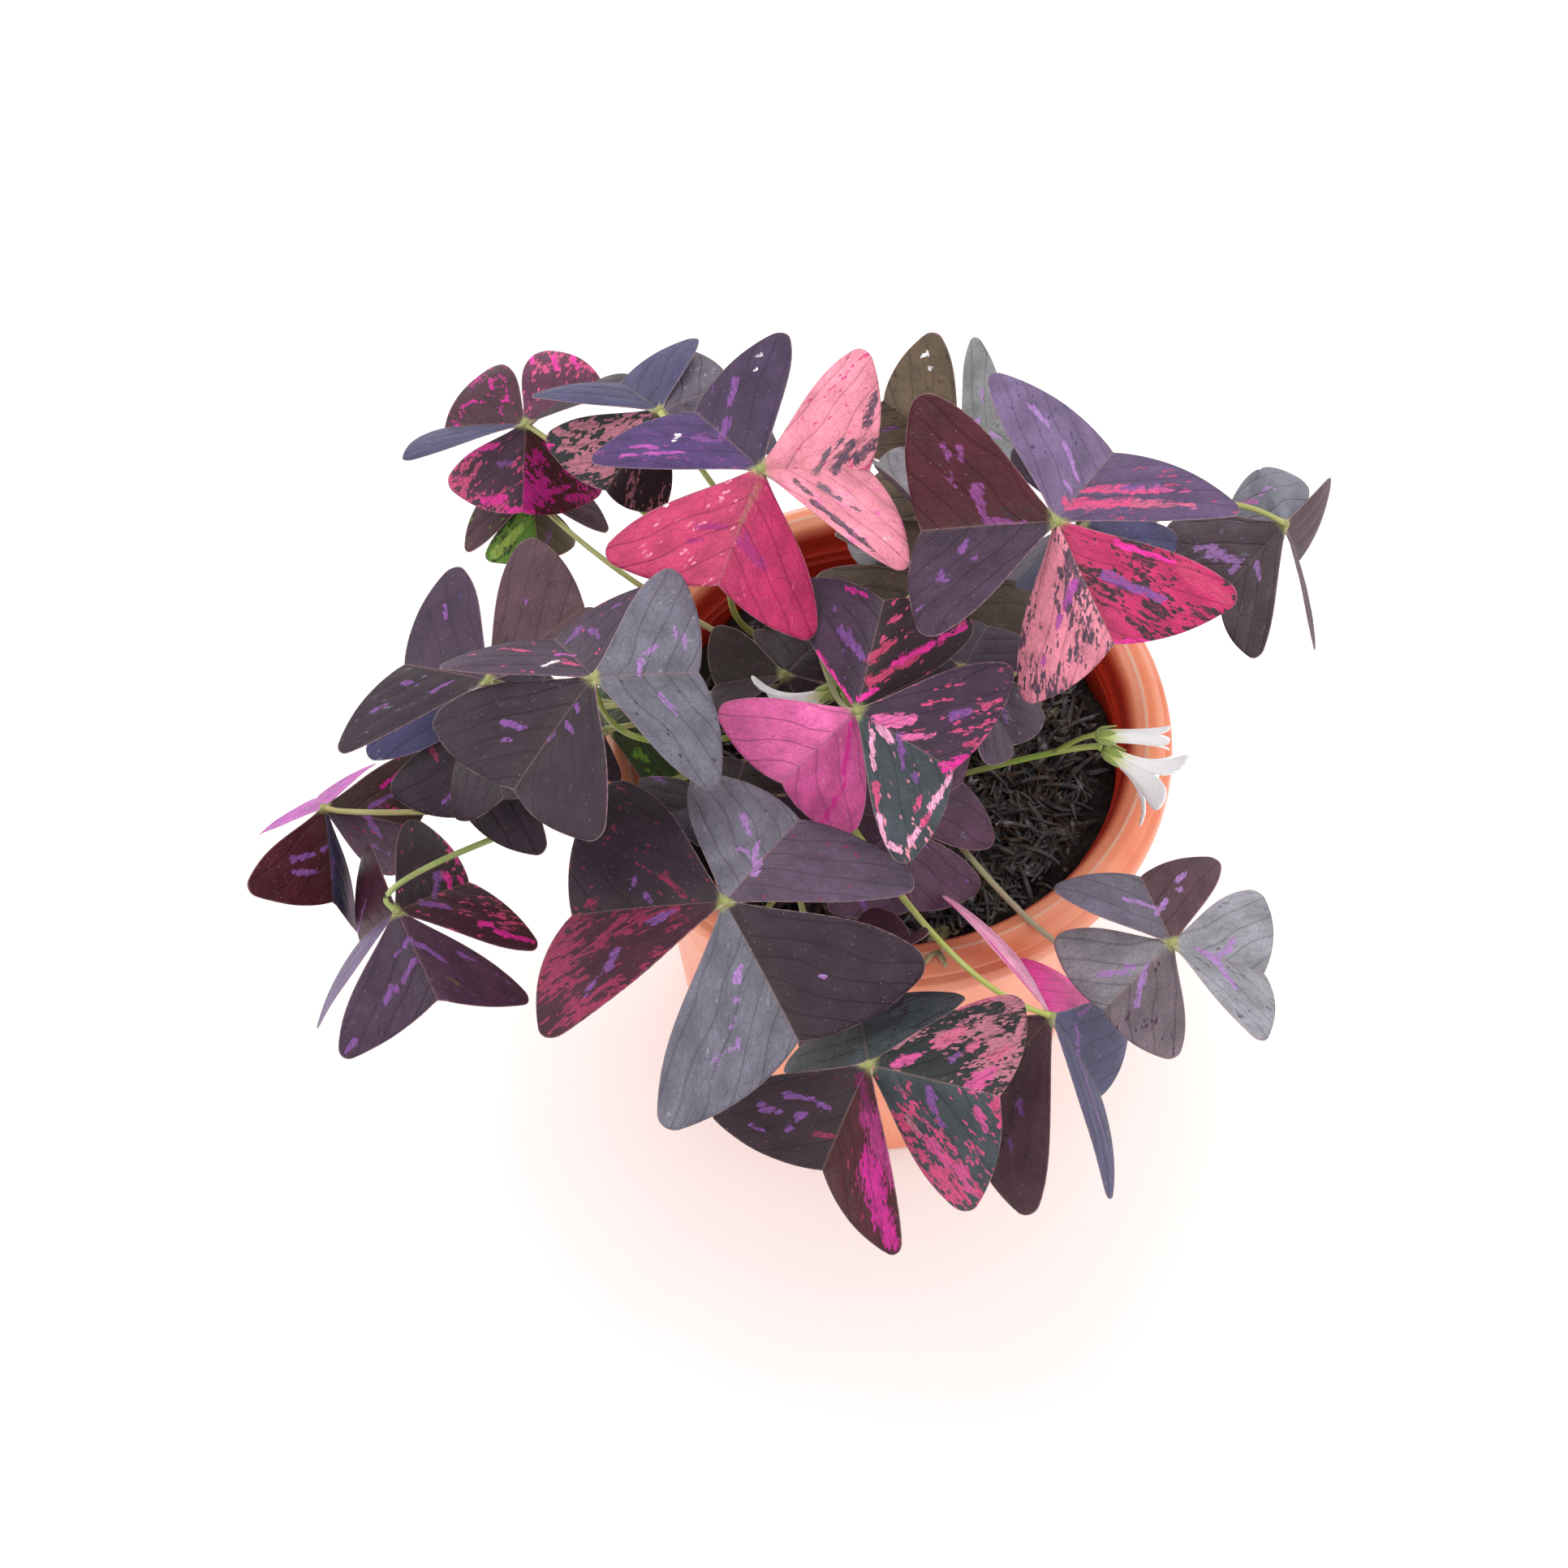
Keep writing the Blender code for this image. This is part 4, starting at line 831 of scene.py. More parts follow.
    "inner_back_right": ((10, 14, 166), (-8, -30), (37, 20, 27, -19), 34, [
        ((320, -40, 25, 45, 48), ("olive_brown", "olive", 12, 12), []),
        ((85, -25, 5, 15, 42), ("olive_brown", "olive", 12, 12), []),
        ((205, -25, 5, 15, 42), ("olive_brown", "olive", 12, 12), []),
    ]),
    "inner_back": ((11, 37, 153), (3, 17), (10, 6, 16, 1), 27, [
        ((205, -30, -30, 55, 39), ("sheen_grey_olive", "olive", 12, 12), []),
        ((135, 15, 50, -15, 48), ("sheen_grey_olive", "slate", 12, 12), []),
        ((350, -30, 0, 15, 42), ("olive_brown", "olive", 12, 12), []),
    ]),
    "right_back": ((41, 16, 185), (12, -9), (24, -8, -7, 36), 27, [
        ((145, 20, 65, -10, 39), ("slate", "sheen_blue_grey", 8, 8), []),
        ((215, -20, 55, 0, 48), ("blue_violet", "slate", 8, 8), ("violet_slate", "slate", 8, 8), []),
        ((330, -25, -5, 15, 39), ("blue_violet", "slate", 8, 8), ("slate_teal", "slate", 8, 8), []),
    ]),
    "inner_front_left": ((-34, -40, 163), (-13, -3), (23, 0, -1, 35), 22, [
        ((200, 15, 30, 0, 48), ("night_violet", "violet", 8, 8), ("night_plum", "violet", 6, 6), [
            ("violet", 11.5, -16, 11, -10.5, 0.7),
        ]),
        ((320, -25, 0, 15, 42), ("night_plum", "plum", 8, 8), []),
        ((80, -25, 0, 15, 42), ("night_plum", "plum", 8, 8), ("brown_dark", "plum", 8, 8), []),
    ]),
    "left_back_low": ((-81, 53, 140), (-13, 15), (12, -32, 40, -6), 20, [
        ((280, -45, -10, 40, 42), ("brown_green", "olive", 20, 20), ("leaf_green", "dark_green", 34, 34), [
            ("violet", 10, 4, 12, 2.5, 0.9), ("pale_green", 13, -11, 7, -4, 1.2),
        ]),
        ((40, -25, 0, 15, 42), ("brown_plum", "leaf_green", 10, 10), []),
        ((160, -25, 0, 15, 42), ("brown_plum", "leaf_green", 10, 10),
         ("leaf_green", "dark_green", 30, 30), []),
    ]),
    "front_low": ((-10, -78, 150), (2, 13), (13, 26, -28, -13), 25, [
        ((40, 10, -50, -15, 45), ("wine_plum", "plum", 12, 12), []),
        ((260, -50, -10, 60, 33), ("wine_plum", "plum", 12, 12), []),
        ((150, -30, 0, 15, 42), ("wine_plum", "plum", 12, 12), []),
    ]),
    "left_inner_low": ((-62, -11, 143), (-19, 2), (25, -6, 1, -4), 30, [
        ((5, -20, 20, 30, 36), ("green_dark", "leaf_green", 8, 14), [
            ("leaf_green", 8, -4.5, 10.5, -6.5, 0.9),
        ]),
        ((200, -15, 30, 5, 36), ("dark_green", "sheen_grey_green", 14, 30), []),
        ((105, -30, 0, 15, 42), ("dark_green", "leaf_green", 14, 30), []),
    ]),
}
# Five of these tones, #6c6976, #8a8890, #70717f, #7b7c7e and #837e84, are painted sheen: the dark plum blade
# under the pale veil of reflected soft light on leaflets that face up.
TONES = {
    "night": "#272a2c", "charcoal": "#3c373b", "dark_plum": "#352631", "plum": "#4a2b41",
    "brown_plum": "#523840", "brown": "#3e2826", "maroon": "#461420", "red": "#8e2c4e",
    "crimson": "#b42c5e", "rose": "#cc4a78", "dusty": "#b06c7c", "salmon": "#e78c9f",
    "pale_pink": "#f0a4c6", "bright_pink": "#e86caa", "hot_pink": "#e62f9a", "magenta": "#bc1c84",
    "deep_magenta": "#6a1a4c", "orchid": "#b452a8", "lilac": "#a276b4", "violet": "#7c4a8e",
    "deep_violet": "#4c3466", "violet_grey": "#6e5a7c", "violet_slate": "#665e6e",
    "blue_violet": "#413e60", "slate": "#6c6976", "slate_teal": "#3e454a", "sheen_blue_grey": "#70717f",
    "mauve": "#625868", "sheen_grey": "#8a8890", "sheen_grey_green": "#7b7c7e", "sheen_grey_olive": "#837e84",
    "olive": "#5c4c3c", "dark_green": "#2c3a22", "leaf_green": "#5f8a2c", "pale_green": "#93ac4c",
    "neck": "#a8ac6c", "underside": "#6f3f66", "wine_plum": "#44202f", "maroon_plum": "#5a2644",
    "night_plum": "#33222b", "night_violet": "#42304a", "rose_red": "#bd3e66", "dusk": "#504454",
    "plum_pink": "#9c2c70", "olive_pink": "#a4585a", "scar": "#ece8ea", "orchid_dark": "#83407c",
    "plum_slate": "#432f43", "hot_dusty": "#c8508c", "bright_dusty": "#c45f80", "pink_red": "#e05ea2",
    "brown_dark": "#2e201f", "olive_brown": "#46352a", "brown_green": "#4c4c34",
    "green_dark": "#33401f", "dusk_violet": "#594466", "mid_plum": "#57394e", "soft_plum": "#58475a",
    "ash_plum": "#55474f", "grey_plum": "#75666e",
}
TONES = {name: np.array(linear(code)[:3]) for name, code in TONES.items()}


def lobe_margin(share, length, spread):
    """A lobe's outer margin at 0..1: a bowed line out of the notch, then the round of the tip.

    Line: notch + along u + out 0.08 * 4u(1 - u), to share 0.6. Round: tip centre + radius (cos a, sin a).
    """
    angle = math.radians(spread)
    radius = TIP_ROUND * length
    centre = (length - radius) * np.array([math.cos(angle), math.sin(angle)])
    low, high = math.radians(20.0), angle + math.radians(69.0)
    notch = np.array([NOTCH * length, 0.0])
    along = centre + radius * np.array([math.cos(low), math.sin(low)]) - notch
    out = np.array([along[1], -along[0]])
    u = np.clip(share / 0.6, 0, 1)[..., None]
    turn = low + (high - low) * np.clip((share - 0.6) / 0.4, 0, 1)
    line = notch + along * u + out * (MARGIN_BOW * 4.0 * u * (1.0 - u))
    round_tip = centre + radius * np.stack([np.cos(turn), np.sin(turn)], -1)
    return np.where(share[..., None] <= 0.6, line, round_tip)


def flat_half(s, t, length, spread):
    """The flat half leaflet: a Coons patch between the midrib, the bowed side edge and the margin.

    s runs out from the hub and t from the midrib to the side; both are arrays of one shape.
    """
    notch, corner = lobe_margin(np.array([0.0, 1.0]), length, spread)
    neck = np.array([0.0, HALF_NECK])
    along = corner - neck
    out = np.array([-along[1], along[0]])
    s, t = s[..., None], t[..., None]
    side = neck + along * s + out * (SIDE_BOW * 6.75 * s * s * (1.0 - s))
    outer = lobe_margin(t[..., 0], length, spread) - (1.0 - t) * notch - t * corner
    return (1.0 - t) * notch * s + t * side + s * outer


def eased(value, low, high):
    """0 below low, 1 above high, and smooth between."""
    u = np.clip((value - low) / (high - low), 0.0, 1.0)
    return u * u * (3.0 - 2.0 * u)


def leaflet_sheet(length, pose, seed):
    """A leaflet's two faces and what its colours follow.

    Height: the half's arch, less y sin(fold), less the sag 0.08 L (x/L)^2; then pillows
    |sin(pi c / spacing)| between the side veins, where c = x - 0.9 y warped by up to 1.6 mm, a groove
    exp(-(y/0.5)^2) over the midrib, one slow wave along the lobes, and a fine crinkle.
    """
    heading, pitch, roll, fold, spread = pose
    half = np.concatenate([np.linspace(0.0, 0.6, 15), np.linspace(0.6, 1.0, 11)[1:]])
    columns = np.concatenate([-half[:0:-1], half])
    s, t = np.meshgrid(np.linspace(0.0, 1.0, ROWS + 1), columns, indexing="ij")
    flat = flat_half(s, np.abs(t), length, spread)
    x, y = flat[..., 0], flat[..., 1]
    fine = np.linspace(0.0, 1.0, 90)
    ends = np.ones(90)
    edge = np.vstack([flat_half(ends, fine, length, spread), flat_half(fine, ends, length, spread)])
    rim = np.sqrt(((flat[:, :, None] - edge) ** 2).sum(-1)).min(-1)
    across = np.copysign(y, t)
    wide, bend = 0.68 * length, math.radians(fold)
    soft = np.sqrt(y * y + 0.25) - 0.5
    arch = ARCH * length * 4.0 * (y / wide) * (1.0 - y / wide)
    arch = arch * np.minimum(1.0, 1.4 * x / length)
    phase = x - VEIN_LEAN * y + 3.2 * (lattice_noise(x, across + 40.0, 9.0, seed) - 0.5)
    pillow = PILLOW * np.abs(np.sin(math.pi * phase / VEIN_SPACING)) ** 0.7
    pillow = pillow * eased(rim, 0.5, 4.0) * eased(y, 0.3, 3.0)
    groove = 0.3 * np.exp(-((y / 0.5) ** 2)) * (1.0 - 0.6 * x / (NOTCH * length))
    turn = seed * 2.4
    waves = 0.3 * eased(y / wide, 0.2, 1.0) * np.sin(0.24 * x + turn + np.where(t > 0, 0.0, 2.0))
    crinkle = 0.10 * (lattice_noise(x, across + 40.0, 2.2, seed + 500) - 0.5) * eased(rim, 0.0, 1.5)
    z = arch - soft * math.sin(bend) - SAG * length * (x / length) ** 2
    z = z + (pillow - groove + waves + crinkle) * eased(x, 0.0, 2.0)
    sheet = np.stack([x, across * math.cos(bend), z], -1)
    normal = np.cross(np.gradient(sheet, axis=0), np.gradient(sheet, axis=1))
    normal /= np.linalg.norm(normal, axis=-1, keepdims=True)
    ridge = 0.6 * np.exp(-((y / 0.55) ** 2)) * (1.0 - 0.75 * x / (NOTCH * length))
    collar = 0.6 * np.exp(-((x / 1.4) ** 2)) * (1 - eased(x, 0, 4))
    thick = BLADE * (0.35 + 0.65 * eased(rim, 0.0, 1.2)) + ridge + collar
    top, under = sheet + normal * BLADE / 2, sheet + normal * (BLADE / 2 - thick[..., None])
    place = Matrix.Rotation(math.radians(heading), 3, "Z")
    place = place @ Matrix.Rotation(math.radians(-pitch), 3, "Y")
    place = np.array(place @ Matrix.Rotation(math.radians(roll), 3, "X")).T
    lean = math.radians(0.88 * spread)
    way = [x * math.cos(lean) + y * math.sin(lean), y * math.cos(lean) - x * math.sin(lean)]
    fields, way, flat = (np.stack(both, -1) for both in ([phase, y, rim], way, [x, across]))
    return top @ place, under @ place, np.sign(t), s, fields, way, flat


def stroked(flat, strokes):
    """The tone of the nearest stroke at each point, and 1 - d/w: d off its line, and w its half width."""
    tone, best = np.zeros((*flat.shape[:-1], 3)), np.full(flat.shape[:-1], -3.0)
    for name, x1, y1, x2, y2, wide in strokes:
        start, way = np.array([x1, y1]), np.array([x2 - x1, y2 - y1])
        share = np.clip(((flat - start) @ way) / max(way @ way, 1e-6), 0.0, 1.0)[..., None]
        off = np.linalg.norm(flat - start - share * way, axis=-1)
        level = 1.0 - off / (wide * (1.25 - 0.5 * share[..., 0]))
        tone = np.where((level > best)[..., None], TONES[name], tone)
        best = np.maximum(best, level)
    return np.concatenate([tone, best[..., None]], -1)


def leaf_piece(place, centre, length, leaflets, number):
    """Three leaflets and their knob as one mesh, with the attributes that the blade's material reads."""
    points, quads, pattern, marks, grounds, specks, ways = [], [], [], [], [], [], []
    start = 0
    for i, (pose, *looks, strokes) in enumerate(leaflets):
        seed = 3 * number + i + 1
        top, under, side, s, fields, way, flat = leaflet_sheet(length, pose, seed)
        body, upper, lower, rim = shell(top + np.array(centre), under + np.array(centre))
        faces = np.vstack([upper, lower, rim])
        below = np.zeros(len(faces))
        below[len(upper) : len(upper) + len(lower)] = 1.0
        twice = np.concatenate([side.ravel(), side.ravel()])
        half = (twice[faces].sum(1) < 0).astype(int)
        near = np.concatenate([eased(flat[..., 0], 0.5, 2.0).ravel()] * 2)[faces][..., None]
        out = np.concatenate([s.ravel() ** 1.4] * 2)[faces]
        halves = (looks[0], looks[-1])
        tones = np.array([[TONES[look[k]] for k in (0, 1)] for look in halves])
        shares = np.array([[look[2], look[3]] for look in halves]) / 100.0
        dull = 0.3 * below[:, None, None]
        ground, speck = (tones[half, k][:, None] for k in range(2))
        ground, speck = (tone * (1 - dull) + TONES["underside"] * dull for tone in (ground, speck))
        ground = TONES["neck"] * (1 - near) + ground * near
        cover = shares[half, 0][:, None] * (1 - out) + shares[half, 1][:, None] * out
        cover = cover[..., None] * near
        grounds.append(np.concatenate([ground, cover], -1))
        specks.append(np.concatenate([speck + 0 * ground, np.ones_like(cover)], -1))
        offset = [91.0 * seed + 45.0 * half, 37.0 * seed + 13.0 * half + 60.0 * below]
        way = np.concatenate([way.reshape(-1, 2)] * 2)[faces] + np.stack(offset, -1)[:, None]
        ways.append(np.concatenate([way, np.zeros_like(cover)], -1))
        pattern.append(np.concatenate([fields.reshape(-1, 3)] * 2))
        marks.append(np.concatenate([stroked(flat, strokes).reshape(-1, 4)] * 2))
        points.append(body)
        quads.append(faces + start)
        start += len(body)
    t = np.linspace(-1.0, 1.0, 9)
    pole = np.array(centre) + np.array([0, 0, 0.95]) * t[:, None]
    knob, knob_quads, knob_caps = limb(pole, 0.1 + 0.88 * np.sqrt(1.0 - t**2), 14)
    points, quads = np.vstack(points + [knob]), np.vstack(quads + [knob_quads + start])
    leaf = solid_piece(f"leaf_blades_{place}", points, quads, knob_caps + start)
    corners = knob_quads.size + knob_caps.size
    for name, kind, field, parts, rest in (
        ("ground", "FLOAT_COLOR", "CORNER", grounds, np.tile([*TONES["neck"], 0.0], (corners, 1))),
        ("speck", "FLOAT_COLOR", "CORNER", specks, np.tile([*TONES["neck"], 1.0], (corners, 1))),
        ("vein_way", "FLOAT_VECTOR", "CORNER", ways, np.zeros((corners, 3))),
        ("blade", "FLOAT_VECTOR", "POINT", pattern, np.tile([0.0, 9.0, 9.0], (len(knob), 1))),
        ("mark", "FLOAT_COLOR", "POINT", marks, np.tile([*TONES["neck"], -3.0], (len(knob), 1))),
    ):
        values = np.concatenate([part.reshape(-1, rest.shape[1]) for part in parts] + [rest])
        reads = "color" if kind == "FLOAT_COLOR" else "vector"
        leaf.data.attributes.new(name, kind, field).data.foreach_set(reads, values.astype(np.float32).ravel())
    return leaf


# Living shamrock blade: satin, dark where both skins hold purple sap, pink and violet where a patch of
# cells holds less. Patches are strings of the tiny fields between veinlets, so their edges are stepped,
# and they run out along the side veins. The margin is a thin pale line.
blade, tree = new_material("shamrock_blade")
ground, speck, mark, way, parts = (
    add(tree, "Attribute", attribute_name=name) for name in ("ground", "speck", "mark", "vein_way", "blade")
)
way = way.outputs["Vector"]
phase, off_midrib, off_rim = add(tree, "SeparateXYZ", {0: parts.outputs["Vector"]}).outputs

# The fields between veinlets are about 0.9 mm long and 0.4 mm wide.
cells = add(tree, "Mapping", {"Vector": way, "Scale": (1.1, 2.5, 1.0)})
cells = add(tree, "TexVoronoi", {"Vector": cells, "Scale": 1.0}, voronoi_dimensions="2D")
chance = add(tree, "SeparateColor", {0: cells.outputs["Color"]}).outputs
spot = add(tree, "Mapping", {"Vector": cells.outputs["Position"], "Scale": (1 / 1.1, 1 / 2.5, 1.0)})

# Noises on the flat leaflet: repeats per millimetre along and across, shift, detail and roughness.
NOISES = (
    ("zones", way, 0.05, 0.09, 33.0, 1.0, 0.5),
    ("islands", spot, 0.2, 0.62, 3.1, 3.5, 0.68),
    ("tatters", spot, 0.28, 0.95, 71.0, 3.0, 0.65),
    ("mottle_and_shade", way, 0.12, 0.18, 9.0, 3.0, 0.5),
    ("pebbles", way, 2.3, 2.3, 5.0, 2.0, 0.6),
)
noise = {}
for name, place, x, y, shift, detail, rough in NOISES:
    place = add(tree, "Mapping", {"Vector": place, "Scale": (x, y, 1.0), "Location": (shift, shift, 0.0)})
    sockets = {"Vector": place, "Scale": 1.0, "Detail": detail, "Roughness": rough}
    noise[name] = add(tree, "TexNoise", sockets, noise_dimensions="2D")

# A field is specked where its noise passes the half's share, and specks gather in zones.
zone = add(tree, "MapRange", {0: noise["zones"], 1: 0.36, 2: 0.64, 3: 0.35, 4: 1.5})
share = add(tree, "Math", {0: ground.outputs["Alpha"], 1: zone}, operation="MULTIPLY")
share = add(tree, "Math", {0: share, 1: 0.46, 2: -0.78}, operation="MULTIPLY_ADD")
lot = add(tree, "Math", {0: chance[1], 1: 0.1, 2: noise["islands"]}, operation="MULTIPLY_ADD")
specked = add(tree, "Math", {0: lot, 1: share}, operation="ADD")
specked = add(tree, "MapRange", {0: specked, 1: -0.012, 2: 0.02})
faint = add(tree, "MapRange", {0: chance[2], 1: 0.0, 2: 0.35, 3: 0.55, 4: 0.95})
specked = add(tree, "Math", {0: specked, 1: faint}, operation="MULTIPLY")

# A stroke's edge is torn by noise and stepped from field to field.
tatters = add(tree, "Math", {0: noise["tatters"], 1: 2.7, 2: -1.35}, operation="MULTIPLY_ADD")
level = add(tree, "Math", {0: chance[1], 1: 0.3, 2: mark.outputs["Alpha"]}, operation="MULTIPLY_ADD")
marked = add(tree, "Math", {0: tatters, 1: level}, operation="ADD")
marked = add(tree, "MapRange", {0: marked, 1: 0.1, 2: 0.42})
faint = add(tree, "MapRange", {0: chance[0], 1: 0.0, 2: 0.6, 3: 0.6, 4: 0.96})
marked = add(tree, "Math", {0: marked, 1: faint}, operation="MULTIPLY")

# The ground is mottled softly, partly its own uneven tone and partly painted shade and sheen, and
# greener over the midrib.
mottle_and_shade = add(tree, "MapRange", {0: noise["mottle_and_shade"], 1: 0.3, 2: 0.7, 3: 0.8, 4: 1.18})
tone = add(tree, "Mix", {0: 1.0, 6: ground, 7: mottle_and_shade}, data_type="RGBA", blend_type="MULTIPLY")
inner = add(tree, "MapRange", {0: off_midrib, 1: 7.0, 2: 0.0})
inner = add(tree, "Math", {0: inner, 1: 0.16}, operation="MULTIPLY")
tone = add(tree, "Mix", {0: inner, 6: tone, 7: "#4a4c40"}, data_type="RGBA")
tone = add(tree, "Mix", {0: specked, 6: tone, 7: speck}, data_type="RGBA")
tone = add(tree, "Mix", {0: marked, 6: tone, 7: mark}, data_type="RGBA")
each = add(tree, "MapRange", {0: chance[0], 1: 0.0, 2: 1.0, 3: 0.92, 4: 1.07})
tone = add(tree, "Mix", {0: 1.0, 6: tone, 7: each}, data_type="RGBA", blend_type="MULTIPLY")

# Side veins leave the midrib every 6 mm and fork into a net with meshes of 3.3 by 2.4 mm; they lie sunk
# in the blade and are painted dark, as painted shade in their grooves. The midrib itself is a fine pale
# thread.
side_vein = add(tree, "Math", {0: phase, 1: VEIN_SPACING / 2}, operation="PINGPONG")
side_vein = add(tree, "Math", {0: side_vein, 1: 0.74}, operation="MULTIPLY")
side_vein = add(tree, "MapRange", {0: side_vein, 1: 0.34, 2: 0.0})
bent = add(tree, "TexNoise", {"Vector": way, "Scale": 0.35, "Detail": 2.0}, noise_dimensions="2D")
bent = {0: bent.outputs["Color"], 1: (2.4, 2.4, 0.0), 2: way}
bent = add(tree, "VectorMath", bent, operation="MULTIPLY_ADD")
net = {"Vector": add(tree, "Mapping", {"Vector": bent, "Scale": (0.3, 0.42, 1.0)}), "Scale": 1.0}
net = add(tree, "TexVoronoi", net, feature="DISTANCE_TO_EDGE", voronoi_dimensions="2D")
veinlet = add(tree, "MapRange", {0: net, 1: 0.075, 2: 0.0})
veinlet = add(tree, "Math", {0: veinlet, 1: 0.42}, operation="MULTIPLY")
lines = add(tree, "Math", {0: side_vein, 1: veinlet}, operation="MAXIMUM")
vein_groove_shade = add(tree, "Math", {0: lines, 1: 0.28}, operation="MULTIPLY")
tone = add(tree, "Mix", {0: vein_groove_shade, 6: tone, 7: "#22181c"}, data_type="RGBA")
midrib = add(tree, "MapRange", {0: off_midrib, 1: 0.32, 2: 0.1})
midrib = add(tree, "Math", {0: midrib, 1: 0.3}, operation="MULTIPLY")
tone = add(tree, "Mix", {0: midrib, 6: tone, 7: "#94706e"}, data_type="RGBA")

# A pale rim 0.2 mm wide; a pebbled grain of 0.4 mm, painted lighter on each pebble's top and darker
# between as painted light and shade; and one dot in eight of those set 1.8 mm apart, where salt grains
# show through the skin.
margin = add(tree, "MapRange", {0: off_rim, 1: 0.3, 2: 0.08})
margin = add(tree, "Math", {0: margin, 1: 0.5}, operation="MULTIPLY")
tone = add(tree, "Mix", {0: margin, 6: tone, 7: "#b08c8e"}, data_type="RGBA")
grain = add(tree, "MapRange", {0: noise["pebbles"], 1: 0.3, 2: 0.7, 3: 0.9, 4: 1.12})
tone = add(tree, "Mix", {0: 1.0, 6: tone, 7: grain}, data_type="RGBA", blend_type="MULTIPLY")
salts = add(tree, "Mapping", {"Vector": way, "Scale": (0.55, 0.55, 1.0), "Location": (20.0, 20.0, 0.0)})
salts = add(tree, "TexVoronoi", {"Vector": salts, "Scale": 1.0}, voronoi_dimensions="2D")
luck = add(tree, "SeparateColor", {0: salts.outputs["Color"]})
some = add(tree, "Math", {0: luck, 1: 0.88}, operation="GREATER_THAN")
dots = add(tree, "MapRange", {0: salts, 1: 0.065, 2: 0.03})
dots = add(tree, "Math", {0: dots, 1: some}, operation="MULTIPLY")
dots = add(tree, "Math", {0: dots, 1: 0.45}, operation="MULTIPLY")
tone = add(tree, "Mix", {0: dots, 6: tone, 7: "#d8cccf"}, data_type="RGBA")

rough = add(tree, "MapRange", {0: noise["pebbles"], 1: 0.3, 2: 0.7, 3: 0.44, 4: 0.58})
rise = add(tree, "Math", {0: noise["pebbles"], 1: 0.55}, operation="MULTIPLY")
rise = add(tree, "Math", {0: lines, 1: -0.9, 2: rise}, operation="MULTIPLY_ADD")
bump = add(tree, "Bump", {"Height": rise, "Strength": 0.9, "Distance": 0.0002})
sockets = {"Base Color": tone, "Roughness": rough, "Normal": bump, "IOR": 1.42}
surfaced(tree, {**sockets, "Specular IOR Level": 0.28})

for number, (place, (centre, root, reach, length, leaflets)) in enumerate(LEAVES.items()):
    leaf = leaf_piece(place, centre, length, leaflets, number)
    leaf.data.materials.append(blade)
    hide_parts(f"leaf_{place}")
    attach(leaf, "root")

# ---------------------------------------------------------------------------------------------
# The leaf stalks. Each is one long round stem from the bulbs under the soil to its leaf's knob,
# juicy and a little translucent: green to yellow-green, and pale pinkish white near the soil.
# ---------------------------------------------------------------------------------------------
HOLE_DEPTH = 6.0
STRAIGHT = 2.0
STALK_BASE = 0.9
STALK_TOP = 0.6
STALK_TONES = {
    "left_top": "#8fa548", "back_centre": "#a3ac52", "centre": "#8f8d5e", "front_top": "#97a052",
    "far_left_front": "#8a9a58",
    "right_front": "#7e8458", "front_right": "#a8b058", "left_back": "#a9b466", "left_low": "#a9b070",
}


def stalk_line(root, top, rise, arrival, stop_short, steps):
    """Straight up out of the soil, then a cubic Bezier of start, start + rise, end - arrival and end,
    which stops short of the top, and a straight last piece to within 0.5 mm of it."""
    start = np.array([root[0], root[1], SOIL_TOP + STRAIGHT])
    way = arrival / np.linalg.norm(arrival)
    end = np.array(top, float) - way * stop_short
    t = np.linspace(0.0, 1.0, steps)[:, None]
    lift = start + np.array([0.0, 0.0, rise])
    curve = (1 - t) ** 3 * start + 3 * t * (1 - t) ** 2 * lift
    curve = curve + 3 * t**2 * (1 - t) * (end - arrival) + t**3 * end
    foot = start - np.array([0.0, 0.0, 1.0]) * np.linspace(HOLE_DEPTH + STRAIGHT - 0.6, 0.6, 5)[:, None]
    last = [end + way * step for step in np.arange(0.6, stop_short - 0.4, 0.6)]
    return np.vstack([foot, curve] + last)


def stem_piece(name, stems, sides, tone):
    """Stems in one mesh, with what their material reads: millimetres along, turn, share and tone."""
    points, quads, caps, runs, start = [], [], [], [], 0
    for line, radii in stems:
        body, body_quads, body_caps = limb(line, radii, sides)
        along = np.concatenate([[0.0], np.cumsum(np.linalg.norm(np.diff(line, axis=0), axis=1))])
        turn = np.tile(np.arange(sides) / sides, len(line))
        height = np.clip((body[:, 2] - SOIL_TOP) / 70.0, 0.0, 1.0)
        run = np.vstack([np.stack([np.repeat(along, sides), turn], -1), [[0.0, 0.0], [along[-1], 0.0]]])
        runs.append(np.column_stack([run, height]))
        points.append(body)
        quads.append(body_quads + start)
        caps.append(body_caps + start)
        start += len(body)
    stem = solid_piece(name, np.vstack(points), np.vstack(quads), np.vstack(caps))
    values = np.vstack(runs).astype(np.float32)
    stem.data.attributes.new("run", "FLOAT_VECTOR", "POINT").data.foreach_set("vector", values.ravel())
    values = np.tile(linear(tone), (start, 1)).astype(np.float32)
    stem.data.attributes.new("tone", "FLOAT_COLOR", "POINT").data.foreach_set("color", values.ravel())
    return stem


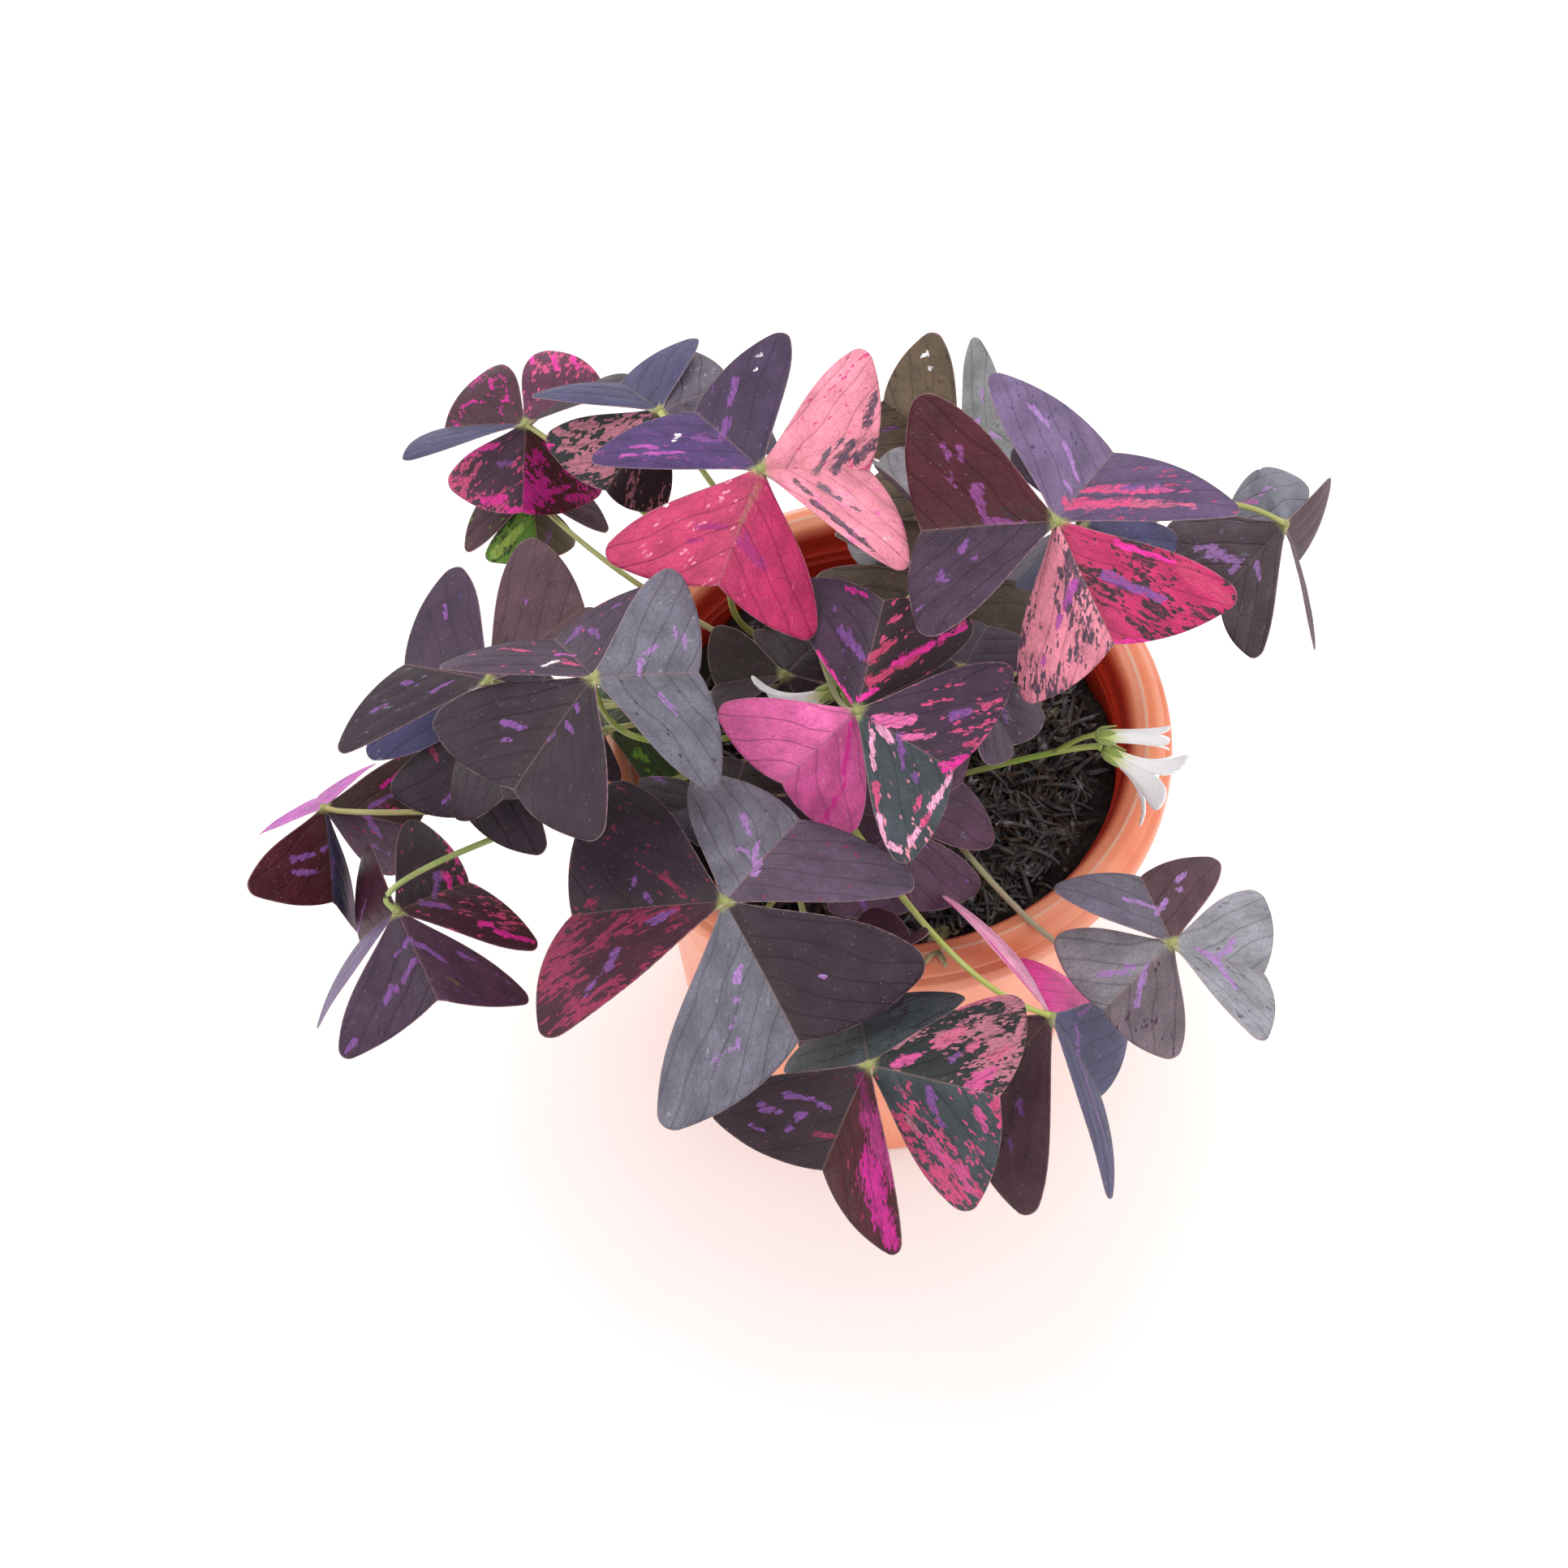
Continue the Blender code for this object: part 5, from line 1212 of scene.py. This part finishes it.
# Juicy stem: smooth and faintly glossy, its green broken by pale streaks 8 mm long and a pink flush
# every 22 mm or so.
green_stem, tree = new_material("juicy_green_stem")
run = add(tree, "Attribute", attribute_name="run").outputs["Vector"]
own_tone = add(tree, "Attribute", attribute_name="tone")
coords = add(tree, "TexCoord").outputs["Object"]
height = add(tree, "SeparateXYZ", {0: run}).outputs["Z"]
streak = add(tree, "Mapping", {"Vector": run, "Scale": (0.12, 3.0, 1.0)})
streak = add(tree, "TexNoise", {"Vector": streak, "Scale": 1.0, "Detail": 3.0})
broad = add(tree, "TexNoise", {"Vector": coords, "Scale": 45.0, "Detail": 2.0})
low = add(tree, "Mix", {0: broad, 6: "#d8c9b4", 7: "#b98f84"}, data_type="RGBA")
rising = add(tree, "MapRange", {0: height, 1: 0.04, 2: 0.45})
tone = add(tree, "Mix", {0: rising, 6: low, 7: own_tone}, data_type="RGBA")
flush = add(tree, "MapRange", {0: broad, 1: 0.5, 2: 0.75, 3: 0.0, 4: 0.4})
tone = add(tree, "Mix", {0: flush, 6: tone, 7: "#b08468"}, data_type="RGBA")
streaks = add(tree, "MapRange", {0: streak, 1: 0.48, 2: 0.66, 3: 0.0, 4: 0.45})
tone = add(tree, "Mix", {0: streaks, 6: tone, 7: "#c9c98c"}, data_type="RGBA")
bump = add(tree, "Bump", {"Height": streak, "Strength": 0.25, "Distance": 0.0002})
surfaced(tree, {"Base Color": tone, "Roughness": 0.4, "Normal": bump, "IOR": 1.4})

for place, (centre, root, (rise, *arrival), length, leaflets) in LEAVES.items():
    line = stalk_line(root, centre, rise, np.array(arrival, float), 2.3, 44)
    share = np.linspace(0.0, 1.0, len(line))
    radii = STALK_BASE + (STALK_TOP - STALK_BASE) * share + 0.2 * eased(share, 0.95, 1.0)
    stem = stem_piece(f"stalk_stem_{place}", [(line, radii)], 10, STALK_TONES.get(place, "#9a9a5c"))
    stem.data.materials.append(green_stem)
    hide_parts(f"stalk_{place}")
    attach(stem, "root")

# ---------------------------------------------------------------------------------------------
# The flowers. Three small funnels of five overlapping petals, one of them half open, each in a cup
# of five green sepals; two share a forked stalk, and pale yellow anthers stand in each throat.
# ---------------------------------------------------------------------------------------------
FLOWERS = {
    "right": ((47, -19, 148), (-13, -15), (3, 4), (335, -20)),
    "centre": ((-12, -16, 168), (-3, -4), (7, 7), (195, -20)),
}
SECOND_BLOOMS = {"right": ((45, -19, 154), (355, 5))}
SECOND_RADIUS = 2.6
BLOOM_LENGTH = 19.0
BLOOM_RADIUS = 10.0
THROAT_RADIUS = 1.3
LOBE_CUT = 0.42
PETAL = 0.3


def petal_sheet(middle, lift, mouth):
    """One petal: s runs up the funnel, and its angle spans 37 degrees each way from the middle.

    Radius 1.3 + (mouth - 1.3) s^2.4 and height 19 (s - 0.18 s^4), s being cut to 0.58 between petals.
    """
    s, t = np.meshgrid(np.linspace(0.0, 1.0, 15), np.linspace(-1.0, 1.0, 11), indexing="ij")
    angle = math.radians(middle) + t * math.radians(37.0)
    lobe = np.abs(np.cos(np.clip(2.5 * t * math.radians(37.0), -1.55, 1.55))) ** 0.7
    up = s * (1.0 - LOBE_CUT + LOBE_CUT * lobe)
    size = mouth / BLOOM_RADIUS
    radius = THROAT_RADIUS + (mouth - THROAT_RADIUS) * up**2.4 + lift * (0.3 + t * 0.35) * size**0.5
    radius = radius + size * (0.3 * s**2 * np.sin(4.0 * t + middle) - 0.3 * np.cos(math.pi * t) * s * (1 - s))
    sheet = np.stack([BLOOM_LENGTH * (up - 0.18 * up**4), radius * np.cos(angle), radius * np.sin(angle)], -1)
    normal = np.cross(np.gradient(sheet, axis=0), np.gradient(sheet, axis=1))
    normal /= np.linalg.norm(normal, axis=-1, keepdims=True)
    return sheet + normal * PETAL / 2, sheet - normal * PETAL / 2, np.stack([s, t, 0 * s], -1)


def sepal_sheet(middle):
    """One sepal, pressed to the funnel's foot: half angle 30 (1 - s^2) degrees and radius 1.75 + 0.35 s."""
    s, t = np.meshgrid(np.linspace(0.0, 1.0, 7), np.linspace(-1.0, 1.0, 5), indexing="ij")
    angle = math.radians(middle) + t * math.radians(30.0) * (1.0 - s * s) + 0.02 * t
    radius = 1.05 + 0.9 * np.minimum(1.0, 4.0 * s) + 0.35 * s
    sheet = np.stack([4.6 * s - 0.5, radius * np.cos(angle), radius * np.sin(angle)], -1)
    inner = np.stack([4.6 * s - 0.5, (radius - 0.3) * np.cos(angle), (radius - 0.3) * np.sin(angle)], -1)
    return sheet, inner, np.stack([-1.0 - s, t, 0 * s], -1)


# Petal: thin and silky white, faintly lilac along its nine veins, going yellow-green down the throat;
# the sepals, which carry a negative s, are plain green.
silk, tree = new_material("white_petal")
grain = add(tree, "Attribute", attribute_name="petal").outputs["Vector"]
up, side = add(tree, "SeparateXYZ", {0: grain}).outputs[:2]
wander = add(tree, "Mapping", {"Vector": grain, "Scale": (3.0, 3.0, 1.0)})
wander = add(tree, "TexNoise", {"Vector": wander, "Scale": 1.0, "Detail": 2.0})
vein = add(tree, "Math", {0: wander, 1: 0.25, 2: side}, operation="MULTIPLY_ADD")
vein = add(tree, "Math", {0: vein, 1: 5.0}, operation="ADD")
vein = add(tree, "Math", {0: vein, 1: 0.11}, operation="PINGPONG")
vein = add(tree, "MapRange", {0: vein, 1: 0.035, 2: 0.0})
faint = add(tree, "Math", {0: vein, 1: 0.3}, operation="MULTIPLY")
strong = add(tree, "Math", {0: vein, 1: 0.7}, operation="MULTIPLY")
white = add(tree, "Mix", {0: faint, 6: "#ffffff", 7: "#dccfe8"}, data_type="RGBA")
throat = add(tree, "Mix", {0: strong, 6: "#d6e07c", 7: "#93b23c"}, data_type="RGBA")
down = add(tree, "MapRange", {0: up, 1: 0.42, 2: 0.12})
tone = add(tree, "Mix", {0: down, 6: white, 7: throat}, data_type="RGBA")
sepal = add(tree, "Math", {0: up, 1: -0.5}, operation="LESS_THAN")
tone = add(tree, "Mix", {0: sepal, 6: tone, 7: "#93a64e"}, data_type="RGBA")
bump = add(tree, "Bump", {"Height": vein, "Strength": 0.3, "Distance": 0.0002})
surfaced(tree, {"Base Color": tone, "Roughness": 0.5, "Sheen Weight": 0.35, "Normal": bump})


def bloom_piece(name, foot, pose, mouth):
    """Five petals, five sepals and five anthers in one mesh; gives it and the way that it faces."""
    turn = Matrix.Rotation(math.radians(pose[0]), 3, "Z")
    turn = np.array(turn @ Matrix.Rotation(math.radians(-pose[1]), 3, "Y"))
    points, quads, caps, grain, start = [], [], [], [], 0
    sheets = [petal_sheet(72.0 * i, 0.5 if i % 2 else 0.0, mouth) for i in range(5)]
    sheets += [sepal_sheet(72.0 * i + 36.0) for i in range(5)]
    for outer, inner, fields in sheets:
        body, upper, lower, rim = shell(outer, inner)
        points.append(body)
        quads.append(np.vstack([upper, lower, rim]) + start)
        grain.append(np.concatenate([fields.reshape(-1, 3)] * 2))
        start += len(body)
    for i in range(5):
        angle = math.radians(72.0 * i + 20.0)
        out = np.array([0.0, math.cos(angle), math.sin(angle)])
        line = np.array([1.0, 0.0, 0.0]) * np.linspace(5.5, 8.9, 6)[:, None] + out * 0.55
        body, body_quads, body_caps = limb(line, np.array([0.1, 0.1, 0.1, 0.1, 0.32, 0.26]), 6)
        points.append(body)
        quads.append(body_quads + start)
        caps.append(body_caps + start)
        grain.append(np.tile([0.1, 0.5, 0.0], (len(body), 1)))
        start += len(body)
    bloom = solid_piece(name, np.vstack(points) @ turn.T + np.array(foot), np.vstack(quads), np.vstack(caps))
    values = np.concatenate(grain).astype(np.float32)
    bloom.data.attributes.new("petal", "FLOAT_VECTOR", "POINT").data.foreach_set("vector", values.ravel())
    bloom.data.materials.append(silk)
    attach(bloom, "root")
    return bloom, turn @ np.array([1.0, 0.0, 0.0])


for place, (foot, root, (rise, run_in), pose) in FLOWERS.items():
    bloom, facing = bloom_piece(f"corolla_{place}", foot, pose, BLOOM_RADIUS)
    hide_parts(f"bloom_{place}")
    line = stalk_line(root, foot, rise, facing * run_in, 0.9, 34)
    share = np.linspace(0.0, 1.0, len(line))
    stems = [(line, 0.6 + 0.1 * share + 0.4 * eased(share, 0.95, 1.0))]
    if place in SECOND_BLOOMS:
        second, turned_to = SECOND_BLOOMS[place]
        bloom, facing = bloom_piece(f"corolla_{place}_half_open", second, turned_to, SECOND_RADIUS)
        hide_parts(f"bloom_{place}_half_open")
        t = np.linspace(0.0, 1.0, 14)[:, None]
        end = np.array(second, float) - facing * 0.3
        off = line[-9]
        fork = (1 - t) ** 2 * off + 2 * t * (1 - t) * (end - facing * 3.0) + t**2 * end
        stems.append((fork, 0.55 + 0.35 * eased(t[:, 0], 0.8, 1.0)))
    stem = stem_piece(f"flower_stem_{place}", stems, 10, "#8fae4a")
    stem.data.materials.append(green_stem)
    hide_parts(f"flower_stalk_{place}")
    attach(stem, "root")
